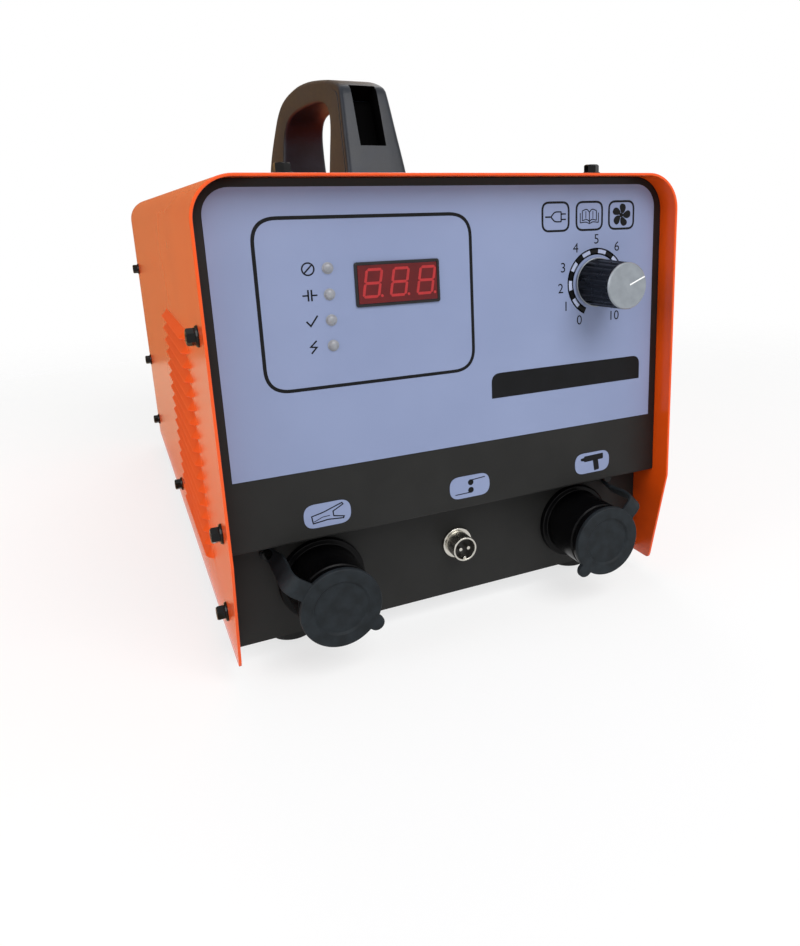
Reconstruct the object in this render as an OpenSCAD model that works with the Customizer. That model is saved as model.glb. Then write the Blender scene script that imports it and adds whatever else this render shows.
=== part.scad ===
// Capacitor discharge stud welder: folded sheet cabinet with louvred cover, carry handle,
// front controls, two capped output sockets, control connector, rear fan and the power parts inside.
// Millimetres. X to the right, Y from the front to the back, Z up, floor at Z 0.

/* [Cabinet] */
// cover width over the side sheets
cover_w = 290; // [250:1:330]
// cover height from its lower edge to the top
cover_h = 268; // [255:1:300]
// cover depth from front edge to back edge
cover_d = 580; // [540:1:640]
// sheet thickness of every folded part
sheet_t = 1.5; // [1:0.1:2]
// outer bend radius of the cover
bend_r = 22; // [16:1:26]
// set-back of the panels behind the cover edges
lip = 15; // [12:0.5:18]
// set-back of the lower front panel behind the upper one
step_d = 21.2; // [18:0.2:24]
// height of the fold in the front panel
fold_h = 68.8; // [68:0.2:74]
// how far the lower front corner of the cover slants back
tip_back = 17; // [12:1:22]
// rounding of the lower front corner of the cover
tip_r = 4; // [2:0.5:6]
// lower edge of panels and tray above the cover edge
floor_gap = 2; // [1:0.5:4]
// clearance between nested sheets
fit_gap = 0.3; // [0.2:0.05:0.5]
// depth of the return flanges of the panels
flange_d = 24; // [20:1:30]
// height of the side flanges of the tray
tray_h = 34; // [30:1:40]
// height of the end flanges of the tray
tray_lip = 16; // [12:1:20]

/* [Louvres] */
// louvres on each side
louvre_n = 17; // [12:1:18]
// pitch of the louvres
louvre_pitch = 9.3; // [8.5:0.1:10]
// length of each louvre
louvre_l = 142; // [120:1:160]
// front end of the louvres behind the cover edge
louvre_front = 84; // [70:1:100]
// mouth of the lowest louvre above the cover edge
louvre_low = 39; // [37:1:46]
// how far a hood stands out
louvre_out = 4.2; // [3:0.1:5]
// height of a hood
louvre_rise = 7; // [5.5:0.1:7.5]
// run of the slanted hood ends
louvre_run = 9; // [4:0.5:12]
// skin of the hood
louvre_skin = 1.1; // [0.9:0.1:1.4]
// slit left open below each hood
louvre_slit = 1; // [0.6:0.1:1.4]

/* [Cabinet screws] */
// shank radius of the cabinet screws
screw_r = 2.4; // [2:0.1:2.8]
// radial clearance of every screw hole
hole_gap = 0.3; // [0.2:0.05:0.5]
// shank length of the cabinet screws
screw_l = 10; // [8:0.5:16]
// radius of the screw flange
screw_flange_r = 5.8; // [5:0.1:6.5]
// thickness of the screw flange
screw_flange_t = 1.5; // [1:0.1:2]
// corner radius of the hex head
screw_head_r = 4.6; // [4:0.1:5]
// height of the hex head
screw_head_h = 4.6; // [3.5:0.1:5.5]
// screw line behind the face of a panel
screw_inset = 8; // [6:0.5:12]
// upper side screws at the front below the cover top
front_screw_hi = 79; // [68:1:93]
// lower side screws at the front
front_screw_lo = 80; // [78:1:100]
// upper side screws at the back below the cover top
back_screw_hi = 74; // [43:1:78]
// lower side screws at the back
back_screw_lo = 92; // [85:1:120]
// height of the tray screws
tray_screw_h = 22; // [19:1:26]
// top screws in from the cover sides
top_screw_in = 50; // [36:1:72]
// screw ends beyond what they hold
screw_end = 2; // [1:0.1:3]
// room round nuts
nut_room = 1; // [0.8:0.1:1.5]

/* [Handle] */
// front of the handle behind the cover edge
handle_y = 147; // [130:1:170]
// length of the handle
handle_l = 278; // [250:1:300]
// height of the handle
handle_h = 85; // [84:1:100]
// width of the handle at its base
handle_w = 44; // [36:1:48]
// share of the base width at the top
handle_top_share = 0.78; // [0.7:0.01:0.95]
// width of the pocket in the front face
pocket_w = 19; // [14:0.5:22]
// depth of the pocket in the front face
pocket_d = 20; // [12:1:24]
// length of the handle screws inside the legs
handle_screw_l = 18; // [12:1:24]

/* [Feet] */
// radius of the rubber feet
foot_r = 15; // [12:0.5:18]
// height of the rubber feet
foot_h = 14; // [10:0.5:16]
// taper of the rubber feet to the floor
foot_taper = 1.5; // [1:0.1:2]
// feet centre in from the cover sides
foot_side = 39.9; // [29:0.1:58]
// feet centre in from the panels
foot_in = 28; // [22:1:36]
// recess for the screw head in the foot
foot_recess = 6; // [5:0.5:7]

/* [Front label] */
// height of the control layout that hangs from the panel top
layout_h = 197.4; // [190:0.1:205]
// label thickness
label_t = 0.4; // [0.3:0.1:0.8]
// label margin to the cabinet sides
label_side = 5.5; // [4:0.5:8]
// label margin to the top of the panel
label_top = 4.3; // [3:0.1:7]
// lower edge of the label above the fold
label_low = 41.3; // [36:0.1:46]
// corner radius of the label
label_r = 14; // [10:1:17]
// lens radius of the indicators
led_r = 2.8; // [2.2:0.1:3.2]
// radius of the indicator stem
led_stem_r = 2.2; // [1.6:0.1:2.4]
// dome of the indicators
led_dome = 1.2; // [0.8:0.1:1.6]
// indicator stem behind the panel
led_back = 2; // [1.5:0.1:3]
// indicator column in from the left cover side
led_x = 67.4; // [65:0.1:71]
// lowest indicator above the foot of the control layout
led_low = 110.1; // [106:0.1:112]
// pitch of the indicators
led_pitch = 13.8; // [12.5:0.1:14]

/* [Display] */
// display centre in from the left cover side
display_x = 106.4; // [104:0.1:109]
// display centre above the foot of the control layout
display_up = 141.6; // [138:0.1:144]
// display width over the bezel
display_w = 49.5; // [47:0.1:52]
// display height over the bezel
display_h = 24.2; // [22:0.1:26]
// width of the bezel frame
bezel_w = 1.5; // [1.2:0.1:2]
// how far the bezel stands proud
bezel_out = 1; // [0.6:0.1:1.6]
// window thickness
window_t = 2; // [1.5:0.1:2.5]

/* [Dial] */
// knob axis in from the right cover side
knob_x = 51.4; // [48:0.1:55]
// knob axis above the foot of the control layout
knob_up = 133.8; // [130:0.1:137]
// knob length
knob_l = 32.6; // [28:0.2:36]
// silver cap radius
knob_cap_r = 14; // [13:0.1:14.4]
// silver cap length
knob_cap_l = 6.5; // [5:0.1:9]
// bevel of the silver cap
knob_bevel = 1; // [0.6:0.1:1.4]
// skirt radius at the base
knob_r = 15; // [14.6:0.1:16]
// grip flutes
knob_flutes = 24; // [18:1:30]
// flute radius
flute_r = 0.9; // [0.6:0.1:1.1]
// flutes end in front of the base
flute_stop = 2; // [1.5:0.1:3]
// gap under the knob
knob_gap = 0.8; // [0.5:0.1:1]
// shaft radius
shaft_r = 3; // [2.5:0.1:3.4]
// running clearance of turning shafts
run_gap = 0.05; // [0.03:0.01:0.08]
// bush radius
bush_r = 4.7; // [4.3:0.1:5]
// bush length in front of the label
bush_out = 5; // [4:0.2:6]
// nut corner radius of the potentiometer
pot_nut_r = 7; // [6.2:0.1:7.5]
// nut height of the potentiometer
pot_nut_h = 2.4; // [2:0.1:3]
// body radius of the potentiometer
pot_r = 12; // [10:0.5:13]
// body length of the potentiometer
pot_l = 12; // [10:0.5:14]

/* [Control connector] */
// connector axis above the lower edge of the panel
plug_up = 35.6; // [33:0.1:38]
// thread radius of the connector
plug_r = 8; // [7:0.1:9]
// bore radius of the shell
plug_bore_r = 6.8; // [6:0.1:6.8]
// how far the shell stands out
plug_out = 14; // [12:0.5:16]
// flange radius of the shell
plug_flange_r = 10.2; // [9.5:0.1:11]
// flange thickness of the shell
plug_flange_t = 2.6; // [2:0.1:3.5]
// shell length behind the panel
plug_back = 12; // [10:0.5:14]
// nut corner radius
plug_nut_r = 11.5; // [11:0.1:13]
// nut height
plug_nut_h = 3.5; // [3:0.1:4.5]
// pin radius
pin_r = 1.1; // [0.8:0.1:1.3]
// half distance of the pins
pin_off = 2.7; // [2.4:0.1:3.2]
// depth of the insert behind the rim
insert_in = 8; // [7:0.1:9]
// pins behind the rim
pin_in = 1; // [0.6:0.1:2]
// pins behind the shell
pin_end = 2; // [1:0.1:3]

/* [Output sockets] */
// socket axis in from the cover side
socket_in = 55.1; // [50:0.1:61]
// socket axis above the lower edge of the panel
socket_up = 32.5; // [31:0.1:34]
// how far the housing stands out of the panel
socket_out = 40.2; // [36:0.2:44]
// housing radius
socket_r = 22.4; // [21.5:0.1:23.5]
// mouth radius of the housing
mouth_r = 18.2; // [17:0.1:19]
// depth of the mouth
mouth_d = 24; // [20:0.5:26]
// flange radius of the housing
socket_flange_r = 26; // [25:0.1:28]
// flange thickness of the housing
socket_flange_t = 4; // [3:0.1:5]
// boss radius through the panel
boss_r = 16; // [14.5:0.1:17]
// boss length behind the panel
boss_l = 8; // [7:0.1:10]
// ring nut radius
ring_nut_r = 22; // [20:0.1:24]
// ring nut height
ring_nut_h = 7; // [6:0.1:8]
// contact radius
contact_r = 10; // [9:0.1:11]
// contact bore radius
contact_bore_r = 6.5; // [6:0.1:7]
// contact bore depth
contact_bore_d = 30; // [26:0.5:32]
// contact front behind the rim
contact_in = 8; // [6:0.1:10]
// stud radius behind the contact
stud_r = 5; // [4.5:0.1:6]
// stud length behind the contact
stud_l = 16; // [14:0.5:18]
// stud nut corner radius
stud_nut_r = 9; // [8:0.1:10]
// stud nut height
stud_nut_h = 6; // [5:0.1:8]

/* [Dust caps] */
// cap radius
cap_r = 23.5; // [22.5:0.1:24.5]
// cap thickness
cap_t = 3.6; // [3:0.1:4.2]
// gap between cap and housing rim
cap_gap = 0.4; // [0.3:0.05:0.8]
// recess radius in the cap
cap_dish_r = 15.5; // [13:0.1:17]
// recess depth in the cap
cap_dish_d = 1; // [0.6:0.1:1.4]
// side clearance of the spigot in the mouth
spigot_gap = 1; // [0.8:0.05:1.3]
// spigot depth in the mouth
spigot_l = 4; // [3:0.1:5]
// hinge line beyond the cap rim
hinge_out = 4.6; // [4.4:0.1:5]
// knuckle radius of the hinge
knuckle_r = 1.8; // [1.6:0.05:2]
// trunnion radius of the hinge
trunnion_r = 0.9; // [0.7:0.05:1]
// width of the strap
strap_w = 11; // [9:0.5:16]
// share of the strap width in the middle knuckle
knuckle_share = 0.4; // [0.35:0.01:0.5]
// strap thickness
strap_t = 2; // [1.6:0.1:2.4]
// bow of the strap beyond the hinge line
strap_bow = 5; // [4.8:0.1:5.6]
// length of the strap foot on the panel
strap_foot = 9.5; // [9:0.1:10]
// strap angle of the left socket
strap_left = 143; // [135:1:165]
// strap angle of the right socket
strap_right = 44; // [38:1:46]
// width of the pull tab
tab_w = 7.5; // [6:0.5:11]
// length of the pull tab beyond the rim
tab_l = 5; // [4:0.5:6]
// strap screw radius
small_r = 1.5; // [1.2:0.1:1.8]
// small screw head radius
small_head_r = 3; // [2.6:0.1:3.4]
// small screw head height
small_head_h = 1.8; // [1.4:0.1:2.2]

/* [Rear panel parts] */
// fan frame size
fan_s = 120; // [112:1:124]
// fan depth
fan_d = 38; // [32:1:42]
// fan duct radius
fan_duct_r = 57; // [54:0.5:57.5]
// rotor tip clearance in the duct
fan_tip_gap = 2; // [1.5:0.1:3]
// hub radius
fan_hub_r = 21; // [18:0.5:24]
// motor boss depth
fan_boss = 8; // [6:0.5:10]
// rotor depth
fan_rotor_d = 24; // [20:0.5:25]
// rotor axle radius
axle_r = 2.5; // [2:0.1:3]
// blades
fan_blades = 7; // [5:1:9]
// blade thickness
blade_t = 2; // [1.6:0.1:2.6]
// blade pitch angle
blade_pitch = 38; // [30:1:42]
// share of the frame side between the fan screws
fan_hole_share = 0.4375; // [0.43:0.0025:0.445]
// fan centre in from the left cover side
fan_x = 93; // [87:1:99]
// fan centre above the panel edge
fan_up = 150; // [140:1:165]
// guard rings
guard_n = 5; // [4:1:6]
// guard wire size
guard_t = 2; // [1.6:0.1:2.4]
// switch width
switch_w = 22; // [20:0.5:26]
// switch height
switch_h = 30; // [27:0.5:33]
// switch bezel beyond the cut-out
switch_rim = 2.5; // [2:0.1:3]
// switch bezel thickness
switch_rim_t = 2; // [1.6:0.1:2.4]
// switch depth behind the panel
switch_d = 26; // [22:1:30]
// rocker pivot pin radius
rocker_pin_r = 1.5; // [1.2:0.1:1.8]
// rocker clearance in its housing
rocker_gap = 0.5; // [0.4:0.05:0.7]
// rocker tilt at rest
rocker_tilt = 12; // [10:1:14]
// switch, fuse and inlet column in from the right cover side
inlet_x = 57; // [51:1:63]
// switch centre above the panel edge
switch_up = 200; // [190:1:210]
// fuse holder above the panel edge
fuse_up = 140; // [130:1:150]
// fuse holder radius
fuse_r = 8; // [7:0.1:9]
// fuse cap height
fuse_cap_h = 4; // [3:0.1:5]
// cable gland above the panel edge
gland_up = 80; // [70:1:90]
// gland thread radius
gland_r = 10; // [9:0.1:11]
// gland hex corner radius
gland_hex_r = 15; // [14:0.1:16]
// gland thread behind the panel
gland_in = 15; // [12:0.5:18]
// gland bore radius
gland_bore_r = 5; // [4.5:0.1:5.5]
// gland length outside the panel
gland_out = 13; // [11:0.2:14]
// earth stud above the panel edge
earth_up = 40; // [36:1:44]
// earth stud radius
earth_r = 3; // [2.5:0.1:3.5]
// earth nut corner radius
earth_nut_r = 6; // [5:0.1:7]
// earth nut height
earth_nut_h = 4; // [3:0.1:5]
// earth stud behind the panel
earth_in = 15; // [12:0.5:18]
// earth stud outside the panel
earth_out = 13; // [11:0.2:14]

/* [Control board] */
// standoff length
standoff_l = 22; // [20:0.5:24]
// standoff radius
standoff_r = 3.5; // [3:0.1:4]
// board thickness
board_t = 1.6; // [1.2:0.1:2]
// board width
board_w = 176; // [168:1:180]
// board height
board_h = 96; // [90:1:104]
// board edge in from the left cover side
board_x = 23; // [18:1:27]
// board centre above the foot of the control layout
board_up = 133; // [128:1:136]

/* [Power parts] */
// capacitor radius
can_r = 25; // [23:0.5:26]
// capacitor height
can_h = 105; // [95:1:115]
// distance of the two capacitor rows
can_pitch = 57; // [55:0.5:60]
// capacitor bank behind the middle between heat sink and winding
can_y = 2; // [-4:0.5:4]
// clamp plate height share on the cans
clamp_share = 0.55; // [0.4:0.01:0.7]
// clamp plate thickness
clamp_t = 2; // [1.5:0.1:3]
// clamp post radius
post_r = 4; // [3.5:0.1:5]
// terminal radius
term_r = 5; // [4:0.1:6]
// terminal height
term_h = 6; // [5:0.1:8]
// half distance of the terminals
term_off = 11; // [10:0.1:12]
// busbar width
bar_w = 14; // [12:0.5:15]
// busbar thickness
bar_t = 3; // [2:0.1:4]
// busbar links in from the inside of the cover
link_in = 26; // [22:0.5:30]
// heat sink length
sink_l = 70; // [60:1:76]
// heat sink width
sink_w = 64; // [56:1:70]
// heat sink height
sink_h = 46; // [40:1:52]
// heat sink base thickness
sink_base = 8; // [6:0.5:10]
// heat sink fins
sink_n = 8; // [6:1:10]
// share of the fin pitch filled by a fin
fin_share = 0.35; // [0.25:0.01:0.5]
// thyristor module height
scr_h = 30; // [26:1:34]
// thyristor module width
scr_w = 34; // [30:1:38]
// transformer core length
core_l = 84; // [76:1:90]
// transformer core width
core_w = 100; // [90:1:108]
// transformer core height
core_h = 90; // [80:1:98]
// share of the core length in the winding window
core_limb_share = 0.25; // [0.2:0.01:0.3]
// winding overhang beyond the core
coil_out = 14; // [10:0.5:16]
// transformer centre in from the left cover side
core_x = 93; // [87:1:99]
// transformer centre in front of the rear panel
core_y = 143.5; // [134:0.5:154]
// rectifier size
bridge_s = 30; // [26:0.5:34]
// rectifier height
bridge_h = 20; // [16:0.5:24]
// discharge resistor length
resistor_l = 90; // [80:1:100]
// discharge resistor radius
resistor_r = 10; // [8:0.5:12]
// resistor foot thickness
resistor_foot = 4; // [3:0.1:6]
// resistor end in from the inside of the cover
resistor_side = 10.5; // [8:0.5:14]
// resistor foot behind the transformer centre
resistor_y = 5; // [4:0.5:8]

/* [Shown part] */
// sub-part to show

/* [Hidden] */
$fn = 48;
over = 1;
half = 0.5;
hex = 6;
smooth_n = 4;
y_up = lip;
y_low = lip + step_d;
y_rear = cover_d - lip;
in_w = cover_w - 2 * sheet_t;
panel_w = in_w - 2 * fit_gap;
panel_top = cover_h - sheet_t - fit_gap;
panel_r = bend_r - sheet_t - fit_gap;
face_y = y_up - label_t;
back_y = y_up + sheet_t;
low_back_y = y_low + sheet_t;
rear_in_y = y_rear - sheet_t;
tray_floor = floor_gap + sheet_t;
layout_z = panel_top - layout_h;
knob_at = cover_w / 2 - knob_x;
led_at = led_x - cover_w / 2;
display_at = display_x - cover_w / 2;
board_at = board_x + board_w / 2 - cover_w / 2;
fan_at_x = fan_x - cover_w / 2;
inlet_at = cover_w / 2 - inlet_x;
knob_z = layout_z + knob_up;
knob_base_y = face_y - knob_gap;
knob_front_y = knob_base_y - knob_l;
y_mid = (knob_front_y + cover_d) / 2;
z_floor = foot_h - floor_gap;
display_z = layout_z + display_up;
window_w = display_w - 2 * bezel_w;
window_h = display_h - 2 * bezel_w;
window_gap = 0.2;
window_y = face_y - bezel_out + window_gap;
board_y = back_y + standoff_l;
board_z = layout_z + board_up;
led_z = layout_z + led_low;
plug_z = floor_gap + plug_up;
socket_x = cover_w / 2 - socket_in;
socket_z = floor_gap + socket_up;
rim_y = y_low - socket_out;
cap_back_y = rim_y - cap_gap;
cap_front_y = cap_back_y - cap_t;
hinge_y = (cap_front_y + cap_back_y) / 2;
hinge_r = cap_r + hinge_out;
knuckle_w = strap_w * knuckle_share;
cheek_w = (strap_w - knuckle_w) / 2;
strap_r = hinge_r + strap_bow;
ear_gap = 0.3;
ear_t = 2 * knuckle_r;
web_reach = 2 * knuckle_r;
contact_front_y = rim_y + contact_in;
boss_end_y = low_back_y + boss_l;
sink_y = low_back_y + boss_l + stud_l + bar_w + bar_t;
core_at = [core_x - cover_w / 2, rear_in_y - core_y];
can_gap_share = 0.08;
can_n = 4;
can_x1 = (2 * can_r + can_gap_share * (in_w - 2 * can_n * can_r)) / 2;
bank_y = (sink_y + sink_l + core_at[1] - core_l / 2 - coil_out) / 2 + can_y - can_pitch / 2;
can_top = tray_floor + can_h;
term_top = can_top + term_h;
bar_top = term_top + bar_t;
row_y = [bank_y, bank_y + can_pitch];
col_x = [-3 * can_x1, -can_x1, can_x1, 3 * can_x1];
link_x = in_w / 2 - link_in;
bar_half_l = 3 * can_x1 + bar_w / 2;
clamp_z = tray_floor + can_h * clamp_share;
clamp_gap = 0.3;
post_x = [-2 * can_x1, 2 * can_x1];
post_y = bank_y + can_pitch / 2;
sink_x = link_x - sink_w / 2 + bar_w / 2;
scr_z = tray_floor + sink_h;
scr_top = scr_z + scr_h;
fan_z = floor_gap + fan_up;
fan_in_y = rear_in_y - fan_d;
fan_hole = fan_s * fan_hole_share;
switch_z = floor_gap + switch_up;
fuse_z = floor_gap + fuse_up;
gland_z = floor_gap + gland_up;
earth_z = floor_gap + earth_up;
rocker_y = y_rear + rocker_pin_r;
screw_y_front = y_up + screw_inset;
screw_y_back = y_rear - screw_inset;
screw_y_low = low_back_y + screw_inset;
tray_mid_y = (low_back_y + rear_in_y) / 2;
foot_x = cover_w / 2 - foot_side;
foot_y = [low_back_y + foot_in, rear_in_y - foot_in];
hole_r = screw_r + hole_gap;
leg_shares = [0.1, 0.88];
handle_leg_y = [for (q = leg_shares) handle_y + handle_l * q];
outer_shares = [[0, 0], [0.02, 0.19], [0.045, 0.4], [0.085, 0.74], [0.105, 0.805], [0.16, 0.862],
    [0.23, 0.905], [0.35, 0.957], [0.45, 0.988], [0.55, 1], [0.645, 0.985], [0.73, 0.95],
    [0.785, 0.9], [0.835, 0.81], [0.875, 0.69], [0.915, 0.55], [0.953, 0.39], [0.98, 0.2], [1, 0]];
inner_shares = [[0.2, -0.1], [0.199, 0.1], [0.197, 0.3], [0.195, 0.48], [0.207, 0.6], [0.24, 0.69],
    [0.3, 0.74], [0.4, 0.765], [0.5, 0.772], [0.6, 0.765], [0.67, 0.735], [0.715, 0.67],
    [0.742, 0.56], [0.754, 0.4], [0.761, 0.2], [0.765, -0.1]];
front_shares = [[-1, 0], [-1, 0.02], [-0.85, 0.78], [-0.79, 0.92], [-0.62, 1], [0.62, 1],
    [0.79, 0.92], [0.85, 0.78], [1, 0.02], [1, 0]];
pocket_shares = [[0.027, 0.31], [0.0825, 0.81]];
hood_shares = [[1, 0], [0.83, 0.25], [0.6, 0.5], [0.32, 0.75], [0, 1]];
rocker_shares = [[-1, -0.9], [-1, 0.9], [1.6, 0.9], [1.1, 0], [1.6, -0.9]];
led_top_share = 0.7;
flute_share = 0.2;
row_bar_share = 0.8;
riser_share = 1.4;
lug_share = 0.35;
scr_share = 0.6;
yoke_share = 0.18;
cradle_share = 0.3;
foot_w_share = 0.66;
foot_hole_share = 0.6;

// curve through a list of points
function curve_pt(a, b, c, d, t) = half * ((2 * b) + (c - a) * t + (2 * a - 5 * b + 4 * c - d) * t * t
    + (3 * b - a - 3 * c + d) * t * t * t);
function curve(p) = concat([for (i = [0 : len(p) - 2]) for (s = [0 : smooth_n - 1])
    curve_pt(p[max(i - 1, 0)], p[i], p[i + 1], p[min(i + 2, len(p) - 1)], s / smooth_n)], [p[len(p) - 1]]);
function scaled(p, sx, sy) = [for (q = p) [q[0] * sx, q[1] * sy]];
function bow(a, b, c) = [for (i = [0 : 2 * smooth_n]) let (t = i / (2 * smooth_n))
    (1 - t) * (1 - t) * a + 2 * t * (1 - t) * b + t * t * c];
function turned(p) = [for (i = [len(p) - 1 : -1 : 0]) p[i]];

module placed() translate([0, -y_mid, z_floor]) children();
module slab_y(y0, t) translate([0, y0 + t, 0]) rotate([90, 0, 0]) linear_extrude(height = t) children();
module slab_x(x0, t) translate([x0, 0, 0]) rotate([90, 0, 90]) linear_extrude(height = t) children();
module rod_y(y0, l, r) translate([0, y0, 0]) rotate([-90, 0, 0]) cylinder(h = l, r = r);
module box(x0, y0, z0, sx, sy, sz) translate([x0, y0, z0]) cube([sx, sy, sz]);
module ring_y(y0, l, r1, r2) difference() {
    rod_y(y0, l, r1);
    rod_y(y0 - over, l + 2 * over, r2);
}

// plate outline with rounded upper corners
module arch(w, z0, z1, r) {
    translate([-w / 2, z0]) square([w, z1 - z0 - r]);
    translate([-w / 2 + r, z0]) square([w - 2 * r, z1 - z0]);
    for (s = [-1, 1]) translate([s * (w / 2 - r), z1 - r]) circle(r = r);
}
module arch_band(w, z0, z1, r, t) difference() {
    arch(w, z0, z1, r);
    translate([0, 0]) arch(w - 2 * t, z0 - over, z1 - t, r - t);
}

// hex flange screw pointing along +Z with its seat at Z 0
module flange_screw(l) {
    cylinder(h = l, r = screw_r);
    translate([0, 0, -screw_flange_t]) cylinder(h = screw_flange_t, r = screw_flange_r);
    translate([0, 0, -screw_flange_t - screw_head_h])
        cylinder(h = screw_head_h, r = screw_head_r, $fn = hex);
}
function side_spots() = [[screw_y_front, cover_h - front_screw_hi], [screw_y_front, front_screw_lo],
    [screw_y_low, tray_screw_h], [tray_mid_y, tray_screw_h], [rear_in_y - screw_inset, tray_screw_h],
    [screw_y_back, cover_h - back_screw_hi], [screw_y_back, back_screw_lo]];
function top_spots() = [for (s = [-1, 1], y = [screw_y_front, screw_y_back])
    [s * (cover_w / 2 - top_screw_in), y]];
module side_holes(list, x0, l) for (p = list, s = [-1, 1])
    translate([s * x0, p[0], p[1]]) rotate([0, -s * 90, 0])
        translate([0, 0, -over]) cylinder(h = l, r = hole_r);
module top_holes(list, z0, l) for (p = list) translate([p[0], p[1], z0]) cylinder(h = l, r = hole_r);

module base_tray() color("DimGray") placed() difference() {
    l = rear_in_y - low_back_y;
    union() {
        box(-panel_w / 2, low_back_y, floor_gap, panel_w, l, sheet_t);
        for (s = [0, 1]) {
            box(-panel_w / 2 + s * (panel_w - sheet_t), low_back_y, floor_gap, sheet_t, l, tray_h);
            box(-panel_w / 2, low_back_y + s * (l - sheet_t), floor_gap, panel_w, sheet_t, tray_lip);
        }
    }
    for (x = [-foot_x, foot_x], y = foot_y) translate([x, y, floor_gap - over])
        cylinder(h = sheet_t + 2 * over, r = hole_r);
    side_holes([for (i = [2 : 4]) side_spots()[i]], cover_w / 2, screw_l);
    for (s = [-1, 1]) translate([s * socket_x, 0, socket_z]) rod_y(y_low, boss_l, ring_nut_r + nut_room);
    translate([0, 0, plug_z]) rod_y(y_low, plug_back, plug_nut_r + nut_room);
}

module front_panel() color("#262626") placed() difference() {
    union() {
        slab_y(y_up, sheet_t) arch(panel_w, fold_h, panel_top, panel_r);
        slab_y(y_up, flange_d) arch_band(panel_w, fold_h + sheet_t, panel_top, panel_r, sheet_t);
        box(-panel_w / 2, y_up, fold_h, panel_w, step_d + sheet_t, sheet_t);
        box(-panel_w / 2, y_low, floor_gap, panel_w, sheet_t, fold_h - floor_gap + sheet_t);
    }
    side_holes([for (i = [0 : 1]) side_spots()[i]], cover_w / 2, screw_l);
    top_holes([for (p = top_spots()) if (p[1] < y_mid) p], panel_top - screw_l, screw_l + over);
    translate([knob_at, 0, knob_z]) rod_y(y_up - over, sheet_t + 2 * over, bush_r + hole_gap);
    for (i = [0 : 3]) translate([led_at, 0, led_z + i * led_pitch])
        rod_y(y_up - over, sheet_t + 2 * over, led_stem_r + hole_gap);
    box(display_at - window_w / 2, y_up - over, display_z - window_h / 2,
        window_w, sheet_t + 2 * over, window_h);
    translate([0, 0, plug_z]) rod_y(y_low - over, sheet_t + 2 * over, plug_r + hole_gap);
    for (s = [-1, 1]) translate([s * socket_x, 0, socket_z])
        rod_y(y_low - over, sheet_t + 2 * over, boss_r + hole_gap);
    for (q = [[-1, strap_left], [1, strap_right]]) strap_spot(q[0], q[1])
        rod_y(y_low - over, sheet_t + 2 * over, small_r + hole_gap);
}

module rear_panel() color("#262626") placed() difference() {
    union() {
        slab_y(rear_in_y, sheet_t) arch(panel_w, floor_gap, panel_top, panel_r);
        slab_y(y_rear - flange_d, flange_d)
            arch_band(panel_w, floor_gap + tray_h + fit_gap, panel_top, panel_r, sheet_t);
    }
    side_holes([for (i = [5 : 6]) side_spots()[i]], cover_w / 2, screw_l);
    top_holes([for (p = top_spots()) if (p[1] > y_mid) p], panel_top - screw_l, screw_l + over);
    translate([fan_at_x, 0, fan_z]) {
        rod_y(rear_in_y - over, sheet_t + 2 * over, fan_duct_r);
        for (u = [-1, 1], w = [-1, 1]) translate([u * fan_hole, 0, w * fan_hole])
            rod_y(rear_in_y - over, sheet_t + 2 * over, small_r + hole_gap);
    }
    box(inlet_at - switch_w / 2, rear_in_y - over, switch_z - switch_h / 2,
        switch_w, sheet_t + 2 * over, switch_h);
    translate([inlet_at, 0, fuse_z]) rod_y(rear_in_y - over, sheet_t + 2 * over, fuse_r + hole_gap);
    translate([inlet_at, 0, gland_z]) rod_y(rear_in_y - over, sheet_t + 2 * over, gland_r + hole_gap);
    translate([inlet_at, 0, earth_z]) rod_y(rear_in_y - over, sheet_t + 2 * over, earth_r + hole_gap);
}

// one louvre hood on the side plane X 0, standing out along -X, mouth at Z 0, rooted inside the plane
module hood(d, h, l, run, root) intersection() {
    translate([0, l / 2, 0]) rotate([90, 0, 0]) linear_extrude(height = l)
        polygon(concat([[root, 0]], [for (q = hood_shares) [-d * q[0], h * q[1]]], [[root, h]]));
    linear_extrude(height = h) polygon([[root, -l / 2], [0, -l / 2], [-d, -l / 2 + run],
        [-d, l / 2 - run], [0, l / 2], [root, l / 2]]);
}
module cover_profile() {
    half_a = (180 - atan(fold_h / tip_back)) / 2;
    tl = tip_r / tan(half_a);
    a0 = 180 + atan(tip_back / fold_h);
    polygon(concat([[0, cover_h], [cover_d, cover_h], [cover_d, 0]],
        [for (i = [0 : 6]) let (a = 270 + (a0 - 270) * i / 6)
            [tip_back + tl + tip_r * cos(a), tip_r + tip_r * sin(a)]],
        [[0, fold_h]]));
}
module cover() color("#e8591c") placed() difference() {
    union() {
        intersection() {
            slab_y(0, cover_d) arch_band(cover_w, 0, cover_h, bend_r, sheet_t);
            slab_x(-cover_w / 2, cover_w) cover_profile();
        }
        for (s = [0, 1], i = [0 : louvre_n - 1]) mirror([s, 0, 0])
            translate([-cover_w / 2, louvre_front + louvre_l / 2, louvre_low + i * louvre_pitch])
                hood(louvre_out, louvre_rise, louvre_l, louvre_run, sheet_t / 2);
    }
    for (s = [0, 1], i = [0 : louvre_n - 1]) mirror([s, 0, 0])
        translate([-cover_w / 2 + sheet_t, louvre_front + louvre_l / 2,
            louvre_low + i * louvre_pitch - louvre_slit])
            hood(louvre_out - louvre_skin + sheet_t, louvre_rise - louvre_skin + louvre_slit,
                louvre_l - 2 * louvre_skin, louvre_run, over);
    side_holes(side_spots(), cover_w / 2, screw_l);
    top_holes(top_spots(), cover_h - sheet_t - over, sheet_t + 2 * over);
    for (y = handle_leg_y) translate([0, y, cover_h - sheet_t - over])
        cylinder(h = sheet_t + 2 * over, r = hole_r);
}

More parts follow.
